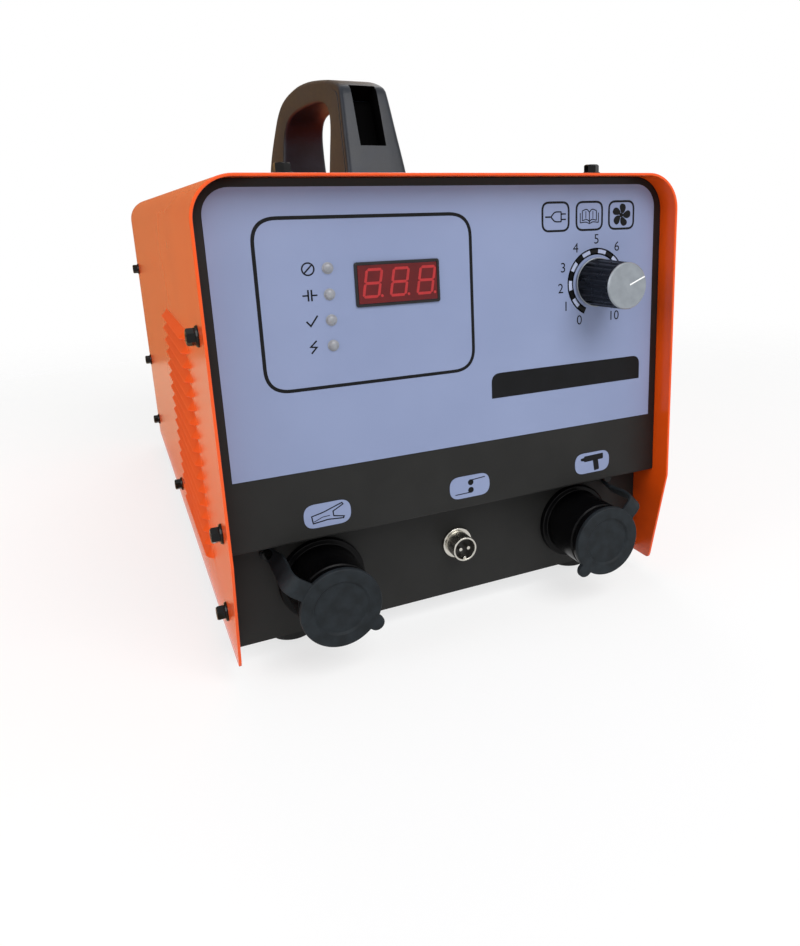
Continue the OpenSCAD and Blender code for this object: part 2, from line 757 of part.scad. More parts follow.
module panel_overlay() color("#8b98b8") placed() difference() {
    slab_y(face_y, label_t)
        arch(panel_w - 2 * label_side, fold_h + label_low, panel_top - label_top, label_r);
    translate([knob_at, 0, knob_z]) rod_y(face_y - over, label_t + 2 * over, bush_r + hole_gap);
    for (i = [0 : 3]) translate([led_at, 0, led_z + i * led_pitch])
        rod_y(face_y - over, label_t + 2 * over, led_stem_r + hole_gap);
    box(display_at - window_w / 2, face_y - over, display_z - window_h / 2,
        window_w, label_t + 2 * over, window_h);
}

module side_screws(s) color("#161616") placed() for (p = side_spots())
    translate([s * cover_w / 2, p[0], p[1]]) rotate([0, -s * 90, 0]) flange_screw(screw_l);
module cover_screws_left() side_screws(-1);
module cover_screws_right() side_screws(1);
module cover_screws_top() color("#161616") placed() for (p = top_spots())
    translate([p[0], p[1], cover_h]) rotate([180, 0, 0]) flange_screw(screw_l);

module carry_handle() color("#2b2d31") placed() translate([0, handle_y, cover_h]) difference() {
    intersection() {
        slab_x(-handle_w / 2, handle_w) difference() {
            polygon(curve(scaled(outer_shares, handle_l, handle_h)));
            polygon(curve(scaled(inner_shares, handle_l, handle_h)));
        }
        slab_y(-over, handle_l + 2 * over) polygon(curve(scaled(
            [for (q = front_shares)
                [q[0] * (q[1] > half ? handle_top_share / -front_shares[2][0] : 1), q[1]]],
            handle_w / 2, handle_h)));
    }
    slab_x(-pocket_w / 2, pocket_w) polygon([
        [pocket_shares[0][0] * handle_l - pocket_d, pocket_shares[0][1] * handle_h],
        [pocket_shares[1][0] * handle_l - pocket_d, pocket_shares[1][1] * handle_h],
        [pocket_shares[1][0] * handle_l + pocket_d, pocket_shares[1][1] * handle_h],
        [pocket_shares[0][0] * handle_l + pocket_d, pocket_shares[0][1] * handle_h]]);
    for (y = handle_leg_y) translate([0, y - handle_y, -over])
        cylinder(h = handle_screw_l + over, r = screw_r + fit_gap);
}
module handle_screws() color("Silver") placed() for (y = handle_leg_y)
    translate([0, y, cover_h - sheet_t]) {
        cylinder(h = handle_screw_l, r = screw_r);
        translate([0, 0, -small_head_h]) cylinder(h = small_head_h, r = screw_flange_r);
    }

module foot_spots() for (x = [-foot_x, foot_x], y = foot_y)
    translate([x, y, floor_gap - foot_h]) children();
module feet() color("#1b1b1b") placed() foot_spots() difference() {
    cylinder(h = foot_h, r1 = foot_r - foot_taper, r2 = foot_r);
    translate([0, 0, -over]) cylinder(h = foot_h + 2 * over, r = hole_r);
    translate([0, 0, -over]) cylinder(h = foot_recess + over, r = screw_flange_r + hole_gap);
}
module foot_screws() color("Silver") placed() foot_spots() {
    translate([0, 0, foot_recess]) cylinder(h = foot_h - foot_recess + sheet_t + screw_end, r = screw_r);
    translate([0, 0, foot_recess - small_head_h]) cylinder(h = small_head_h, r = screw_flange_r);
}

module indicator_lenses() color("#b9bcc4") placed() for (i = [0 : 3])
    translate([led_at, 0, led_z + i * led_pitch]) {
        rod_y(face_y, label_t + sheet_t + led_back, led_stem_r);
        translate([0, face_y, 0]) rotate([90, 0, 0])
            cylinder(h = led_dome, r1 = led_r, r2 = led_r * led_top_share);
    }

module display_bezel() color("#101010") placed() translate([display_at, 0, display_z]) difference() {
    box(-display_w / 2, face_y - bezel_out, -display_h / 2, display_w, bezel_out, display_h);
    box(-window_w / 2, face_y - bezel_out - over, -window_h / 2, window_w, bezel_out + 2 * over, window_h);
}
module window_block(y0, l) translate([display_at, 0, display_z])
    box(-window_w / 2 + window_gap, y0, -window_h / 2 + window_gap,
        window_w - 2 * window_gap, l, window_h - 2 * window_gap);
module display_window() color("#5a0a0c") placed() window_block(window_y, window_t);
module display_module() color("#222222") placed()
    window_block(window_y + window_t, board_y - window_y - window_t);

module knob_body() color("#141414") placed() translate([knob_at, 0, knob_z]) difference() {
    y0 = knob_front_y + knob_cap_l;
    translate([0, y0, 0]) rotate([-90, 0, 0])
        cylinder(h = knob_base_y - y0, r1 = knob_cap_r + fit_gap, r2 = knob_r);
    rod_y(y0 - over, knob_base_y - y0 + 2 * over, shaft_r + run_gap);
    rod_y(knob_base_y - bush_out - nut_room, bush_out + nut_room + over, pot_nut_r + nut_room);
    for (i = [0 : knob_flutes - 1]) rotate([0, i * 360 / knob_flutes, 0])
        translate([knob_r + flute_r * flute_share, 0, 0])
            rod_y(y0 - over, knob_base_y - y0 + over - flute_stop, flute_r);
}
module knob_cap() color("#b4babd") placed() translate([knob_at, 0, knob_z]) {
    translate([0, knob_front_y, 0]) rotate([-90, 0, 0])
        cylinder(h = knob_bevel, r1 = knob_cap_r - knob_bevel * half, r2 = knob_cap_r);
    rod_y(knob_front_y + knob_bevel, knob_cap_l - knob_bevel, knob_cap_r);
}
module pot_shaft() color("Silver") placed() translate([knob_at, 0, knob_z])
    rod_y(knob_front_y + knob_cap_l + fit_gap, back_y + pot_l * half - knob_front_y - knob_cap_l, shaft_r);
module potentiometer() color("#6b6f75") placed() translate([knob_at, 0, knob_z]) difference() {
    union() {
        rod_y(back_y, pot_l, pot_r);
        rod_y(face_y - pot_nut_h, pot_nut_h + label_t + sheet_t + over, bush_r);
    }
    rod_y(face_y - bush_out, bush_out + label_t + sheet_t + pot_l * half + 2 * fit_gap, shaft_r + run_gap);
}
module pot_nut() color("Silver") placed() translate([knob_at, 0, knob_z]) difference() {
    translate([0, face_y - pot_nut_h, 0]) rotate([-90, 0, 0])
        cylinder(h = pot_nut_h, r = pot_nut_r, $fn = hex);
    rod_y(face_y - pot_nut_h - over, pot_nut_h + 2 * over, bush_r + run_gap);
}

module connector_shell() color("#c4c6c4") placed() translate([0, 0, plug_z]) difference() {
    union() {
        rod_y(y_low - plug_out, plug_out + sheet_t + plug_back, plug_r);
        rod_y(y_low - plug_flange_t, plug_flange_t, plug_flange_r);
    }
    rod_y(y_low - plug_out - over, plug_out + sheet_t + plug_back + 2 * over, plug_bore_r);
}
module connector_insert() color("#1a1a1a") placed() translate([0, 0, plug_z]) difference() {
    rod_y(y_low - plug_out + insert_in, plug_out - insert_in + sheet_t + plug_back, plug_bore_r - run_gap);
    for (s = [-1, 1]) translate([s * pin_off, 0, 0])
        rod_y(y_low - plug_out, plug_out + sheet_t + plug_back + over, pin_r + run_gap);
}
module connector_pins() color("#d8c27a") placed() translate([0, 0, plug_z]) for (s = [-1, 1])
    translate([s * pin_off, 0, 0])
        rod_y(y_low - plug_out + pin_in, plug_out + sheet_t + plug_back + pin_end - pin_in, pin_r);
module connector_nut() color("Silver") placed() translate([0, 0, plug_z]) difference() {
    translate([0, low_back_y, 0]) rotate([-90, 0, 0]) cylinder(h = plug_nut_h, r = plug_nut_r, $fn = hex);
    rod_y(low_back_y - over, plug_nut_h + 2 * over, plug_r + run_gap);
}

module socket_at(s) translate([s * socket_x, 0, socket_z]) children();
module strap_spot(s, a) socket_at(s) rotate([0, -a, 0])
    translate([strap_r + strap_foot * foot_hole_share, 0, 0]) children();
module socket_housing(s) color("#0c0c0d") placed() socket_at(s) difference() {
    union() {
        rod_y(rim_y, socket_out, socket_r);
        rod_y(y_low - socket_flange_t, socket_flange_t, socket_flange_r);
        rod_y(y_low, sheet_t + boss_l, boss_r);
    }
    rod_y(rim_y - over, mouth_d + over, mouth_r);
    rod_y(rim_y, socket_out + sheet_t + boss_l + over, contact_r + run_gap);
}
module socket_contact(s) color("#c9a24a") placed() socket_at(s) difference() {
    union() {
        rod_y(contact_front_y, boss_end_y - contact_front_y, contact_r);
        rod_y(boss_end_y, stud_l, stud_r);
    }
    rod_y(contact_front_y - over, contact_bore_d + over, contact_bore_r);
}
// strap in the plane of its angle: from the hinge line it bows out and runs back to the panel
module socket_strap(s, a) color("#2a2b2c") placed() socket_at(s) rotate([0, -a, 0]) difference() {
    p0 = [hinge_r + web_reach, hinge_y - strap_t / 2];
    p1 = [strap_r + strap_t, hinge_y - strap_t / 2];
    p2 = [strap_r + strap_t, hinge_y + strap_bow + strap_t];
    q0 = [hinge_r + web_reach, hinge_y + strap_t / 2];
    q1 = [strap_r, hinge_y + strap_t / 2];
    q2 = [strap_r, hinge_y + strap_bow + strap_t];
    union() {
        translate([0, 0, -strap_w / 2]) linear_extrude(height = strap_w) polygon(concat(bow(p0, p1, p2),
            [[strap_r + strap_t, y_low], [strap_r, y_low]], turned(bow(q0, q1, q2))));
        translate([strap_r, y_low - strap_t, -strap_w * foot_w_share / 2])
            cube([strap_foot, strap_t, strap_w * foot_w_share]);
        translate([0, 0, -knuckle_w / 2 + ear_gap]) linear_extrude(height = knuckle_w - 2 * ear_gap) {
            translate([hinge_r, hinge_y]) circle(r = knuckle_r);
            translate([hinge_r, hinge_y - strap_t / 2]) square([web_reach + over, strap_t]);
        }
        translate([hinge_r, hinge_y, -strap_w / 2 + ear_gap])
            cylinder(h = strap_w - 2 * ear_gap, r = trunnion_r);
    }
    translate([strap_r + strap_foot * foot_hole_share, 0, 0])
        rod_y(y_low - 2 * strap_t, 3 * strap_t, small_r + hole_gap);
}
module socket_cap(s, a) color("#333536") placed() socket_at(s) rotate([0, -a, 0]) difference() {
    union() {
        rod_y(cap_front_y, cap_t, cap_r);
        rod_y(cap_back_y, spigot_l + cap_gap, mouth_r - spigot_gap);
        translate([-cap_r - tab_l + tab_w / 2, 0, 0]) rod_y(cap_front_y, cap_t, tab_w / 2);
        box(-cap_r - tab_l + tab_w / 2, cap_front_y, -tab_w / 2, cap_r, cap_t, tab_w);
        for (k = [-1, 1]) translate([0, 0, k * (strap_w - cheek_w) / 2 - cheek_w / 2])
            linear_extrude(height = cheek_w) {
                translate([hinge_r, hinge_y]) circle(r = knuckle_r);
                translate([cap_r - 2 * over, hinge_y - strap_t / 2])
                    square([hinge_out + 2 * over, strap_t]);
            }
    }
    rod_y(cap_front_y - over, cap_dish_d + over, cap_dish_r);
    translate([hinge_r, hinge_y, -strap_w / 2 - over])
        cylinder(h = strap_w + 2 * over, r = trunnion_r + run_gap);
}
module socket_left_housing() socket_housing(-1);
module socket_left_contact() socket_contact(-1);
module socket_left_strap() socket_strap(-1, strap_left);
module socket_left_cap() socket_cap(-1, strap_left);
module socket_right_housing() socket_housing(1);
module socket_right_contact() socket_contact(1);
module socket_right_strap() socket_strap(1, strap_right);
module socket_right_cap() socket_cap(1, strap_right);
module socket_ring_nuts() color("#2a2a2a") placed() for (s = [-1, 1]) socket_at(s)
    ring_y(low_back_y, ring_nut_h, ring_nut_r, boss_r + run_gap);
module stud_nuts() color("Silver") placed() for (s = [-1, 1]) socket_at(s) difference() {
    translate([0, boss_end_y + bar_t, 0]) rotate([-90, 0, 0])
        cylinder(h = stud_nut_h, r = stud_nut_r, $fn = hex);
    rod_y(boss_end_y, bar_t + stud_nut_h + over, stud_r + run_gap);
}
module strap_screws() color("Silver") placed() for (q = [[-1, strap_left], [1, strap_right]])
    strap_spot(q[0], q[1]) {
        rod_y(y_low - strap_t, strap_t + sheet_t + screw_end, small_r);
        rod_y(y_low - strap_t - small_head_h, small_head_h, small_head_r);
    }

module board_spots() for (u = [-1, 1], w = [-1, 1])
    translate([board_at + u * (board_w / 2 - 2 * standoff_r), 0,
        board_z + w * (board_h / 2 - 2 * standoff_r)])
        children();
module control_board() color("#1f5a36") placed() difference() {
    box(board_at - board_w / 2, board_y, board_z - board_h / 2, board_w, board_t, board_h);
    board_spots() rod_y(board_y - over, board_t + 2 * over, small_r + hole_gap);
}
module board_standoffs() color("Silver") placed() board_spots() {
    rod_y(back_y, standoff_l, standoff_r);
    rod_y(board_y, board_t + screw_end, small_r);
}

module can_spots() for (x = col_x, y = row_y) translate([x, y, 0]) children();
module capacitor_cans() color("#24427a") placed() can_spots()
    translate([0, 0, tray_floor]) cylinder(h = can_h, r = can_r);
module capacitor_terminals() color("#c9a24a") placed() can_spots() for (k = [-1, 1])
    translate([0, k * term_off, can_top]) cylinder(h = term_h, r = term_r);
module capacitor_clamp() color("#d9d4c4") placed() difference() {
    box(-can_n * can_x1, bank_y - can_pitch / 2, clamp_z, 2 * can_n * can_x1, 2 * can_pitch, clamp_t);
    can_spots() translate([0, 0, clamp_z - over]) cylinder(h = clamp_t + 2 * over, r = can_r + clamp_gap);
    for (x = post_x) translate([x, post_y, clamp_z - over]) cylinder(h = clamp_t + 2 * over, r = hole_r);
}
module clamp_posts() color("Silver") placed() for (x = post_x) translate([x, post_y, tray_floor]) {
    cylinder(h = clamp_z - tray_floor, r = post_r);
    translate([0, 0, clamp_z - tray_floor]) cylinder(h = clamp_t + screw_end, r = screw_r);
}
module bank_bar(k) {
    row_w = bar_w * row_bar_share;
    for (y = row_y) box(k < 0 ? -link_x : -bar_half_l, y + k * term_off - row_w / 2, term_top,
        bar_half_l + link_x, row_w, bar_t);
    box(k * link_x - bar_w / 2, bank_y + k * term_off - row_w / 2, term_top,
        bar_w, can_pitch + row_w, bar_t);
}
module busbar_positive() color("#b87333") placed() bank_bar(-1);
module busbar_negative() color("#b87333") placed() bank_bar(1);
// bar from a socket stud up to the given height
module riser(s, top) difference() {
    lug_h = bar_w * riser_share;
    union() {
        box(min(s * socket_x, s * link_x) - bar_w / 2, boss_end_y, socket_z - lug_h / 2,
            abs(link_x - socket_x) + bar_w, bar_t, lug_h);
        box(s * link_x - bar_w / 2, boss_end_y, socket_z - lug_h / 2,
            bar_w, bar_t, top - socket_z + lug_h / 2);
    }
    socket_at(s) rod_y(boss_end_y - over, bar_t + 2 * over, stud_r + hole_gap);
}
module output_bar_left() color("#b87333") placed() {
    riser(-1, bar_top + bar_t);
    box(-link_x - bar_w / 2, boss_end_y, bar_top, bar_w, bank_y - boss_end_y, bar_t);
}
module output_bar_right() color("#b87333") placed() {
    riser(1, scr_top + bar_t);
    box(link_x - bar_w / 2, boss_end_y, scr_top, bar_w, sink_y + sink_l * lug_share - boss_end_y, bar_t);
}
module discharge_bar() color("#b87333") placed() {
    lug_l = sink_l * lug_share;
    y1 = sink_y + sink_l;
    box(link_x - bar_w / 2, y1 - lug_l, scr_top, bar_w, lug_l, bar_t);
    box(link_x - bar_w / 2, y1, scr_top, bar_w, bar_t, bar_top + bar_t - scr_top);
    box(link_x - bar_w / 2, y1, bar_top, bar_w, post_y - y1, bar_t);
}
module heat_sink() color("#a8abb0") placed() {
    p = sink_w / (sink_n - 1 + fin_share);
    box(sink_x - sink_w / 2, sink_y, scr_z - sink_base, sink_w, sink_l, sink_base);
    for (i = [0 : sink_n - 1]) box(sink_x - sink_w / 2 + i * p, sink_y, tray_floor,
        p * fin_share, sink_l, sink_h - sink_base);
}
module thyristor_module() color("#1d1d1f") placed()
    box(link_x - scr_w * scr_share, sink_y, scr_z, scr_w, sink_l, scr_h);
module transformer_core() color("#55585c") placed()
    translate([core_at[0], core_at[1], tray_floor]) difference() {
    translate([-core_w / 2, -core_l / 2, 0]) cube([core_w, core_l, core_h]);
    wind_w = core_w * core_limb_share;
    for (s = [-1, 1]) translate([s * core_w / 4 - wind_w / 2, -core_l / 2 - over, core_h * yoke_share])
        cube([wind_w, core_l + 2 * over, core_h * (1 - 2 * yoke_share)]);
}
module transformer_coil() color("#8a4a1c") placed()
    translate([core_at[0], core_at[1], tray_floor]) difference() {
    limb = core_w * (half - core_limb_share);
    wide = limb + 2 * core_w * core_limb_share;
    translate([-wide / 2 + fit_gap, -core_l / 2 - coil_out, core_h * yoke_share + fit_gap])
        cube([wide - 2 * fit_gap, core_l + 2 * coil_out, core_h * (1 - 2 * yoke_share) - 2 * fit_gap]);
    translate([-limb / 2 - fit_gap, -core_l / 2 - fit_gap, 0])
        cube([limb + 2 * fit_gap, core_l + 2 * fit_gap, core_h]);
}
module rectifier_bridge() color("#2d2f33") placed()
    box(inlet_at - bridge_s / 2, core_at[1] - bridge_s, tray_floor, bridge_s, bridge_s, bridge_h);
module bleed_resistor() color("#3f6b58") placed()
    translate([in_w / 2 - resistor_side - resistor_l / 2, core_at[1] + resistor_y, tray_floor]) {
    translate([-resistor_l / 2, resistor_r + resistor_foot, resistor_r + resistor_foot]) rotate([0, 90, 0])
        cylinder(h = resistor_l, r = resistor_r);
    for (s = [-1, 1])
        translate([s * (resistor_l / 2 - resistor_foot / 2) - resistor_foot / 2, resistor_r * half, 0])
        cube([resistor_foot, resistor_r + 2 * resistor_foot, resistor_foot + resistor_r * cradle_share]);
}

module fan_at() translate([fan_at_x, 0, fan_z]) children();
module fan_frame() color("#1c1c1c") placed() fan_at() difference() {
    union() {
        difference() {
            box(-fan_s / 2, fan_in_y, -fan_s / 2, fan_s, fan_d, fan_s);
            rod_y(fan_in_y - over, fan_d + 2 * over, fan_duct_r);
        }
        rod_y(fan_in_y, fan_boss, fan_hub_r);
        for (i = [0 : 3]) rotate([0, 45 + i * 90, 0])
            box(fan_hub_r - over, fan_in_y, -blade_t,
                fan_duct_r - fan_hub_r + 2 * over, fan_boss * half, 2 * blade_t);
        rod_y(fan_in_y + fan_boss, fan_rotor_d, axle_r);
    }
    for (u = [-1, 1], w = [-1, 1]) translate([u * fan_hole, 0, w * fan_hole])
        rod_y(fan_in_y - over, fan_d + 2 * over, small_r + hole_gap);
}
module fan_rotor() color("#2a2a2c") placed() fan_at() difference() {
    y0 = fan_in_y + fan_boss + fan_tip_gap;
    union() {
        rod_y(y0, fan_rotor_d, fan_hub_r);
        intersection() {
            rod_y(y0, fan_rotor_d, fan_duct_r - fan_tip_gap);
            for (i = [0 : fan_blades - 1]) rotate([0, i * 360 / fan_blades, 0])
                translate([fan_hub_r - over, y0 + fan_rotor_d / 2, 0]) rotate([blade_pitch, 0, 0])
                    translate([0, -fan_rotor_d, -blade_t / 2]) cube([fan_duct_r, 2 * fan_rotor_d, blade_t]);
        }
    }
    rod_y(y0 - over, fan_rotor_d + 2 * over, axle_r + run_gap);
}
module fan_guard() color("#b9bcc0") placed() fan_at() {
    p = (fan_duct_r - guard_t) / guard_n;
    for (i = [1 : guard_n]) ring_y(y_rear + guard_t, guard_t, i * p + guard_t, i * p);
    difference() {
        for (a = [45, 135]) rotate([0, a, 0])
            box(-fan_hole * sqrt(2), y_rear, -guard_t, 2 * fan_hole * sqrt(2), guard_t, 2 * guard_t);
        for (u = [-1, 1], w = [-1, 1]) translate([u * fan_hole, 0, w * fan_hole])
            rod_y(y_rear - over, guard_t + 2 * over, small_head_r + hole_gap);
    }
    for (u = [-1, 1], w = [-1, 1]) translate([u * fan_hole, 0, w * fan_hole]) {
        rod_y(y_rear, small_head_h + guard_t, small_head_r + guard_t);
    }
}

module switch_housing() color("#151515") placed() translate([inlet_at, 0, switch_z]) difference() {
    union() {
        box(-switch_w / 2 - switch_rim, y_rear, -switch_h / 2 - switch_rim,
            switch_w + 2 * switch_rim, switch_rim_t,
            switch_h + 2 * switch_rim);
        box(-switch_w / 2 + fit_gap, y_rear - switch_d, -switch_h / 2 + fit_gap,
            switch_w - 2 * fit_gap, switch_d,
            switch_h - 2 * fit_gap);
    }
    box(-switch_w / 2 + switch_rim, y_rear - switch_d * half, -switch_h / 2 + switch_rim,
        switch_w - 2 * switch_rim,
        switch_d, switch_h - 2 * switch_rim);
    translate([-switch_w / 2, rocker_y - switch_rim_t - rocker_pin_r, 0]) rotate([0, 90, 0])
        cylinder(h = switch_w, r = rocker_pin_r + run_gap);
}
module switch_rocker() color("#c01818") placed()
    translate([inlet_at, rocker_y - switch_rim_t - rocker_pin_r, switch_z]) rotate([rocker_tilt, 0, 0]) {
        w = switch_w / 2 - switch_rim - rocker_gap;
        h = switch_h / 2 - switch_rim - 2 * rocker_gap;
        slab_x(-w, 2 * w) polygon(scaled(rocker_shares, switch_rim_t, h));
        translate([-w - switch_rim, 0, 0]) rotate([0, 90, 0])
            cylinder(h = 2 * w + 2 * switch_rim, r = rocker_pin_r);
    }
module cable_gland() color("#1a1a1a") placed() translate([inlet_at, 0, gland_z]) difference() {
    union() {
        rod_y(rear_in_y - gland_in, gland_in + sheet_t, gland_r);
        translate([0, y_rear, 0]) rotate([-90, 0, 0])
            cylinder(h = gland_out * half, r = gland_hex_r, $fn = hex);
        translate([0, y_rear + gland_out * half, 0]) rotate([-90, 0, 0])
            cylinder(h = gland_out * half, r1 = gland_r + switch_rim, r2 = gland_r - switch_rim);
    }
    rod_y(rear_in_y - gland_in - over, gland_in + sheet_t + gland_out + 2 * over, gland_bore_r);
}
module inlet_fittings() color("#c4b06a") placed() {
    translate([inlet_at, 0, fuse_z]) {
        rod_y(rear_in_y - switch_d, switch_d + sheet_t, fuse_r);
        rod_y(y_rear, switch_rim_t, fuse_r + switch_rim);
        rod_y(y_rear + switch_rim_t, fuse_cap_h, fuse_r - switch_rim);
    }
    translate([inlet_at, 0, earth_z]) {
        rod_y(rear_in_y - earth_in, earth_in + sheet_t + earth_out, earth_r);
        translate([0, y_rear, 0]) rotate([-90, 0, 0])
            cylinder(h = earth_nut_h, r = earth_nut_r, $fn = hex);
    }
}

base_tray();
front_panel();
rear_panel();
cover();
panel_overlay();
cover_screws_left();
cover_screws_right();
cover_screws_top();
carry_handle();
handle_screws();
feet();
foot_screws();
indicator_lenses();
display_bezel();
display_window();
display_module();
knob_body();
knob_cap();
pot_shaft();
potentiometer();
pot_nut();
connector_shell();
connector_insert();
connector_pins();
connector_nut();
socket_left_housing();
socket_left_contact();
socket_left_strap();
socket_left_cap();
socket_right_housing();
socket_right_contact();
socket_right_strap();
socket_right_cap();
socket_ring_nuts();
stud_nuts();
strap_screws();
control_board();
board_standoffs();
capacitor_cans();
capacitor_terminals();
capacitor_clamp();
clamp_posts();
busbar_positive();
busbar_negative();
output_bar_left();
output_bar_right();
discharge_bar();
heat_sink();
thyristor_module();
transformer_core();
transformer_coil();
rectifier_bridge();
bleed_resistor();
fan_frame();
fan_rotor();
fan_guard();
switch_housing();
switch_rocker();
cable_gland();
inlet_fittings();
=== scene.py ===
# %% [markdown]
# A portable stud welder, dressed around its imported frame. The frame brings every solid in metres
# and tells which body carries it. This lesson keeps the solids that already look right, gives
# them better finishes, and lays finer surfaces over the ones that the eye reads first: the
# louvred cover, the folded front, the handle, the dial, the capped sockets.

# %% Load the frame
import math

import bmesh
import bpy
import numpy as np
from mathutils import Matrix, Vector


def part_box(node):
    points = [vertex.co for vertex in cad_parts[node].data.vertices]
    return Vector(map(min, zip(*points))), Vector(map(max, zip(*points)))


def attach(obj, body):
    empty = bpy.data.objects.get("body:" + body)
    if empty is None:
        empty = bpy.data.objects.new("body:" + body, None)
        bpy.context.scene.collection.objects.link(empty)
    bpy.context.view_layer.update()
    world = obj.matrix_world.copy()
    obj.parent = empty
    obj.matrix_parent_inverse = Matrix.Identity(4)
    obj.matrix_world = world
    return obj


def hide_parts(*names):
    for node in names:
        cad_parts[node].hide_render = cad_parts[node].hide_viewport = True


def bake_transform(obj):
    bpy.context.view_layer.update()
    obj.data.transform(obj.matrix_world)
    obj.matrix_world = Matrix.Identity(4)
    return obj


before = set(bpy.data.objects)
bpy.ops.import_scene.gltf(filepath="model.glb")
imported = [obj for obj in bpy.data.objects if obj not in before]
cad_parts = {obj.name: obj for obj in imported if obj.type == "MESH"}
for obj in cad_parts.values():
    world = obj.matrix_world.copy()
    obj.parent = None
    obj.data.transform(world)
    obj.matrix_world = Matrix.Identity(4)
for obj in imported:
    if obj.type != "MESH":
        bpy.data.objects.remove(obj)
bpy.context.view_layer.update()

MM = 0.001
ORIGIN = np.array([0.0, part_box("cover")[0].y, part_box("cover")[0].z])
print("solids", len(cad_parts), "cabinet front edge at", ORIGIN.round(4))

# %% [markdown]
# The cabinet maker's measures, in millimetres from the cover's front edge and lower edge.
# Writing them once keeps every surface on the solid that it dresses.

# %% Measures of the cabinet
COVER_W, COVER_H, COVER_D, SHEET = 290.0, 268.0, 580.0, 1.5
BEND_R, TIP_BACK, TIP_R = 22.0, 17.0, 4.0
UPPER_Y, LOWER_Y, FOLD_Z, LOW_Z = 15.0, 36.2, 68.8, 2.0
PANEL_W, PANEL_TOP, PANEL_R = 286.4, 266.2, 20.2
FACE_Y = 14.6
SOCKET_X, SOCKET_Z, RIM_Y = 89.9, 34.5, -4.0
KNOB_X, KNOB_Z, KNOB_FRONT, KNOB_BASE = 93.6, 202.6, -18.8, 13.8
STRAPS = {"left": (-1, 143.0), "right": (1, 44.0)}
print("cover", COVER_W, "x", COVER_D, "x", COVER_H, "mm")

# %% [markdown]
# The camera comes first, because every later choice is judged through it. Its place, turn and
# lens were worked out from edges whose real sizes are known. The picture's vanishing centre sits
# off the middle of the frame, which is what the two shift values say.

# %% Camera
CAMERA_AT = np.array([-186.253, -393.646, 247.869])
YAW, PITCH, ROLL = 0.468300, -0.255800, -0.023100
FOCAL_PX, LONG_PX, SHIFT_PX, SENSOR_MM = 767.683, 946.0, (-95.6, -61.7), 36.0
ahead = np.array([math.sin(YAW) * math.cos(PITCH), math.cos(YAW) * math.cos(PITCH), math.sin(PITCH)])
right = np.cross(ahead, [0, 0, 1.0])
right /= np.linalg.norm(right)
up = np.cross(right, ahead)
placed = np.eye(4)
placed[:3, 0] = math.cos(ROLL) * right + math.sin(ROLL) * up
placed[:3, 1] = -math.sin(ROLL) * right + math.cos(ROLL) * up
placed[:3, 2] = -ahead
placed[:3, 3] = CAMERA_AT * MM + ORIGIN
camera = bpy.data.objects.new("camera", bpy.data.cameras.new("camera"))
bpy.context.scene.collection.objects.link(camera)
camera.matrix_world = placed.T.tolist()
camera.data.sensor_width = SENSOR_MM
camera.data.lens = FOCAL_PX * SENSOR_MM / LONG_PX
camera.data.shift_x, camera.data.shift_y = SHIFT_PX[0] / LONG_PX, SHIFT_PX[1] / LONG_PX
camera.data.clip_start = 0.01
bpy.context.scene.camera = camera
print("lens", round(camera.data.lens, 2), "mm at", placed[:3, 3].round(3))

# %% [markdown]
# A finish is a set of nodes. One function adds any node: settings go to its sockets or its
# properties, links come as sockets. Colours are written as sRGB hex and turned to linear once.

# %% Node and colour helpers
def linear(code, alpha=1.0):
    """sRGB hex to linear: each channel over 0.04045 is ((c + 0.055) / 1.055) to the power 2.4."""
    c = np.array([int(code[i:i + 2], 16) for i in (1, 3, 5)]) / 255.0
    c = np.where(c > 0.04045, ((c + 0.055) / 1.055) ** 2.4, c / 12.92)
    return (*c.tolist(), alpha)


def add(tree, kind, links=None, **settings):
    """One node of any kind with its settings and its incoming links."""
    node = tree.nodes.new(kind)
    for key, value in settings.items():
        if key in node.bl_rna.properties.keys():
            setattr(node, key, value)
        else:
            node.inputs[key.replace("_", " ")].default_value = value
    for socket, source in (links or {}).items():
        tree.links.new(source, node.inputs[socket])
    return node


def per_mm(size):
    """Scale of a noise whose features are about size millimetres, on coordinates in metres."""
    return 1.0 / (size * MM)


print("white in linear", linear("#ffffff"), "a 1 mm grain has scale", per_mm(1.0))

# %% [markdown]
# Most finishes share one build: a base colour that drifts a little over patches of some
# millimetres, a roughness that drifts with it, and a bump at the grain of the real surface.
# What differs is the numbers, so they are passed in, and special finishes add their own nodes.

# %% The common build of a finish
DRIFT = (0.35, 0.65)


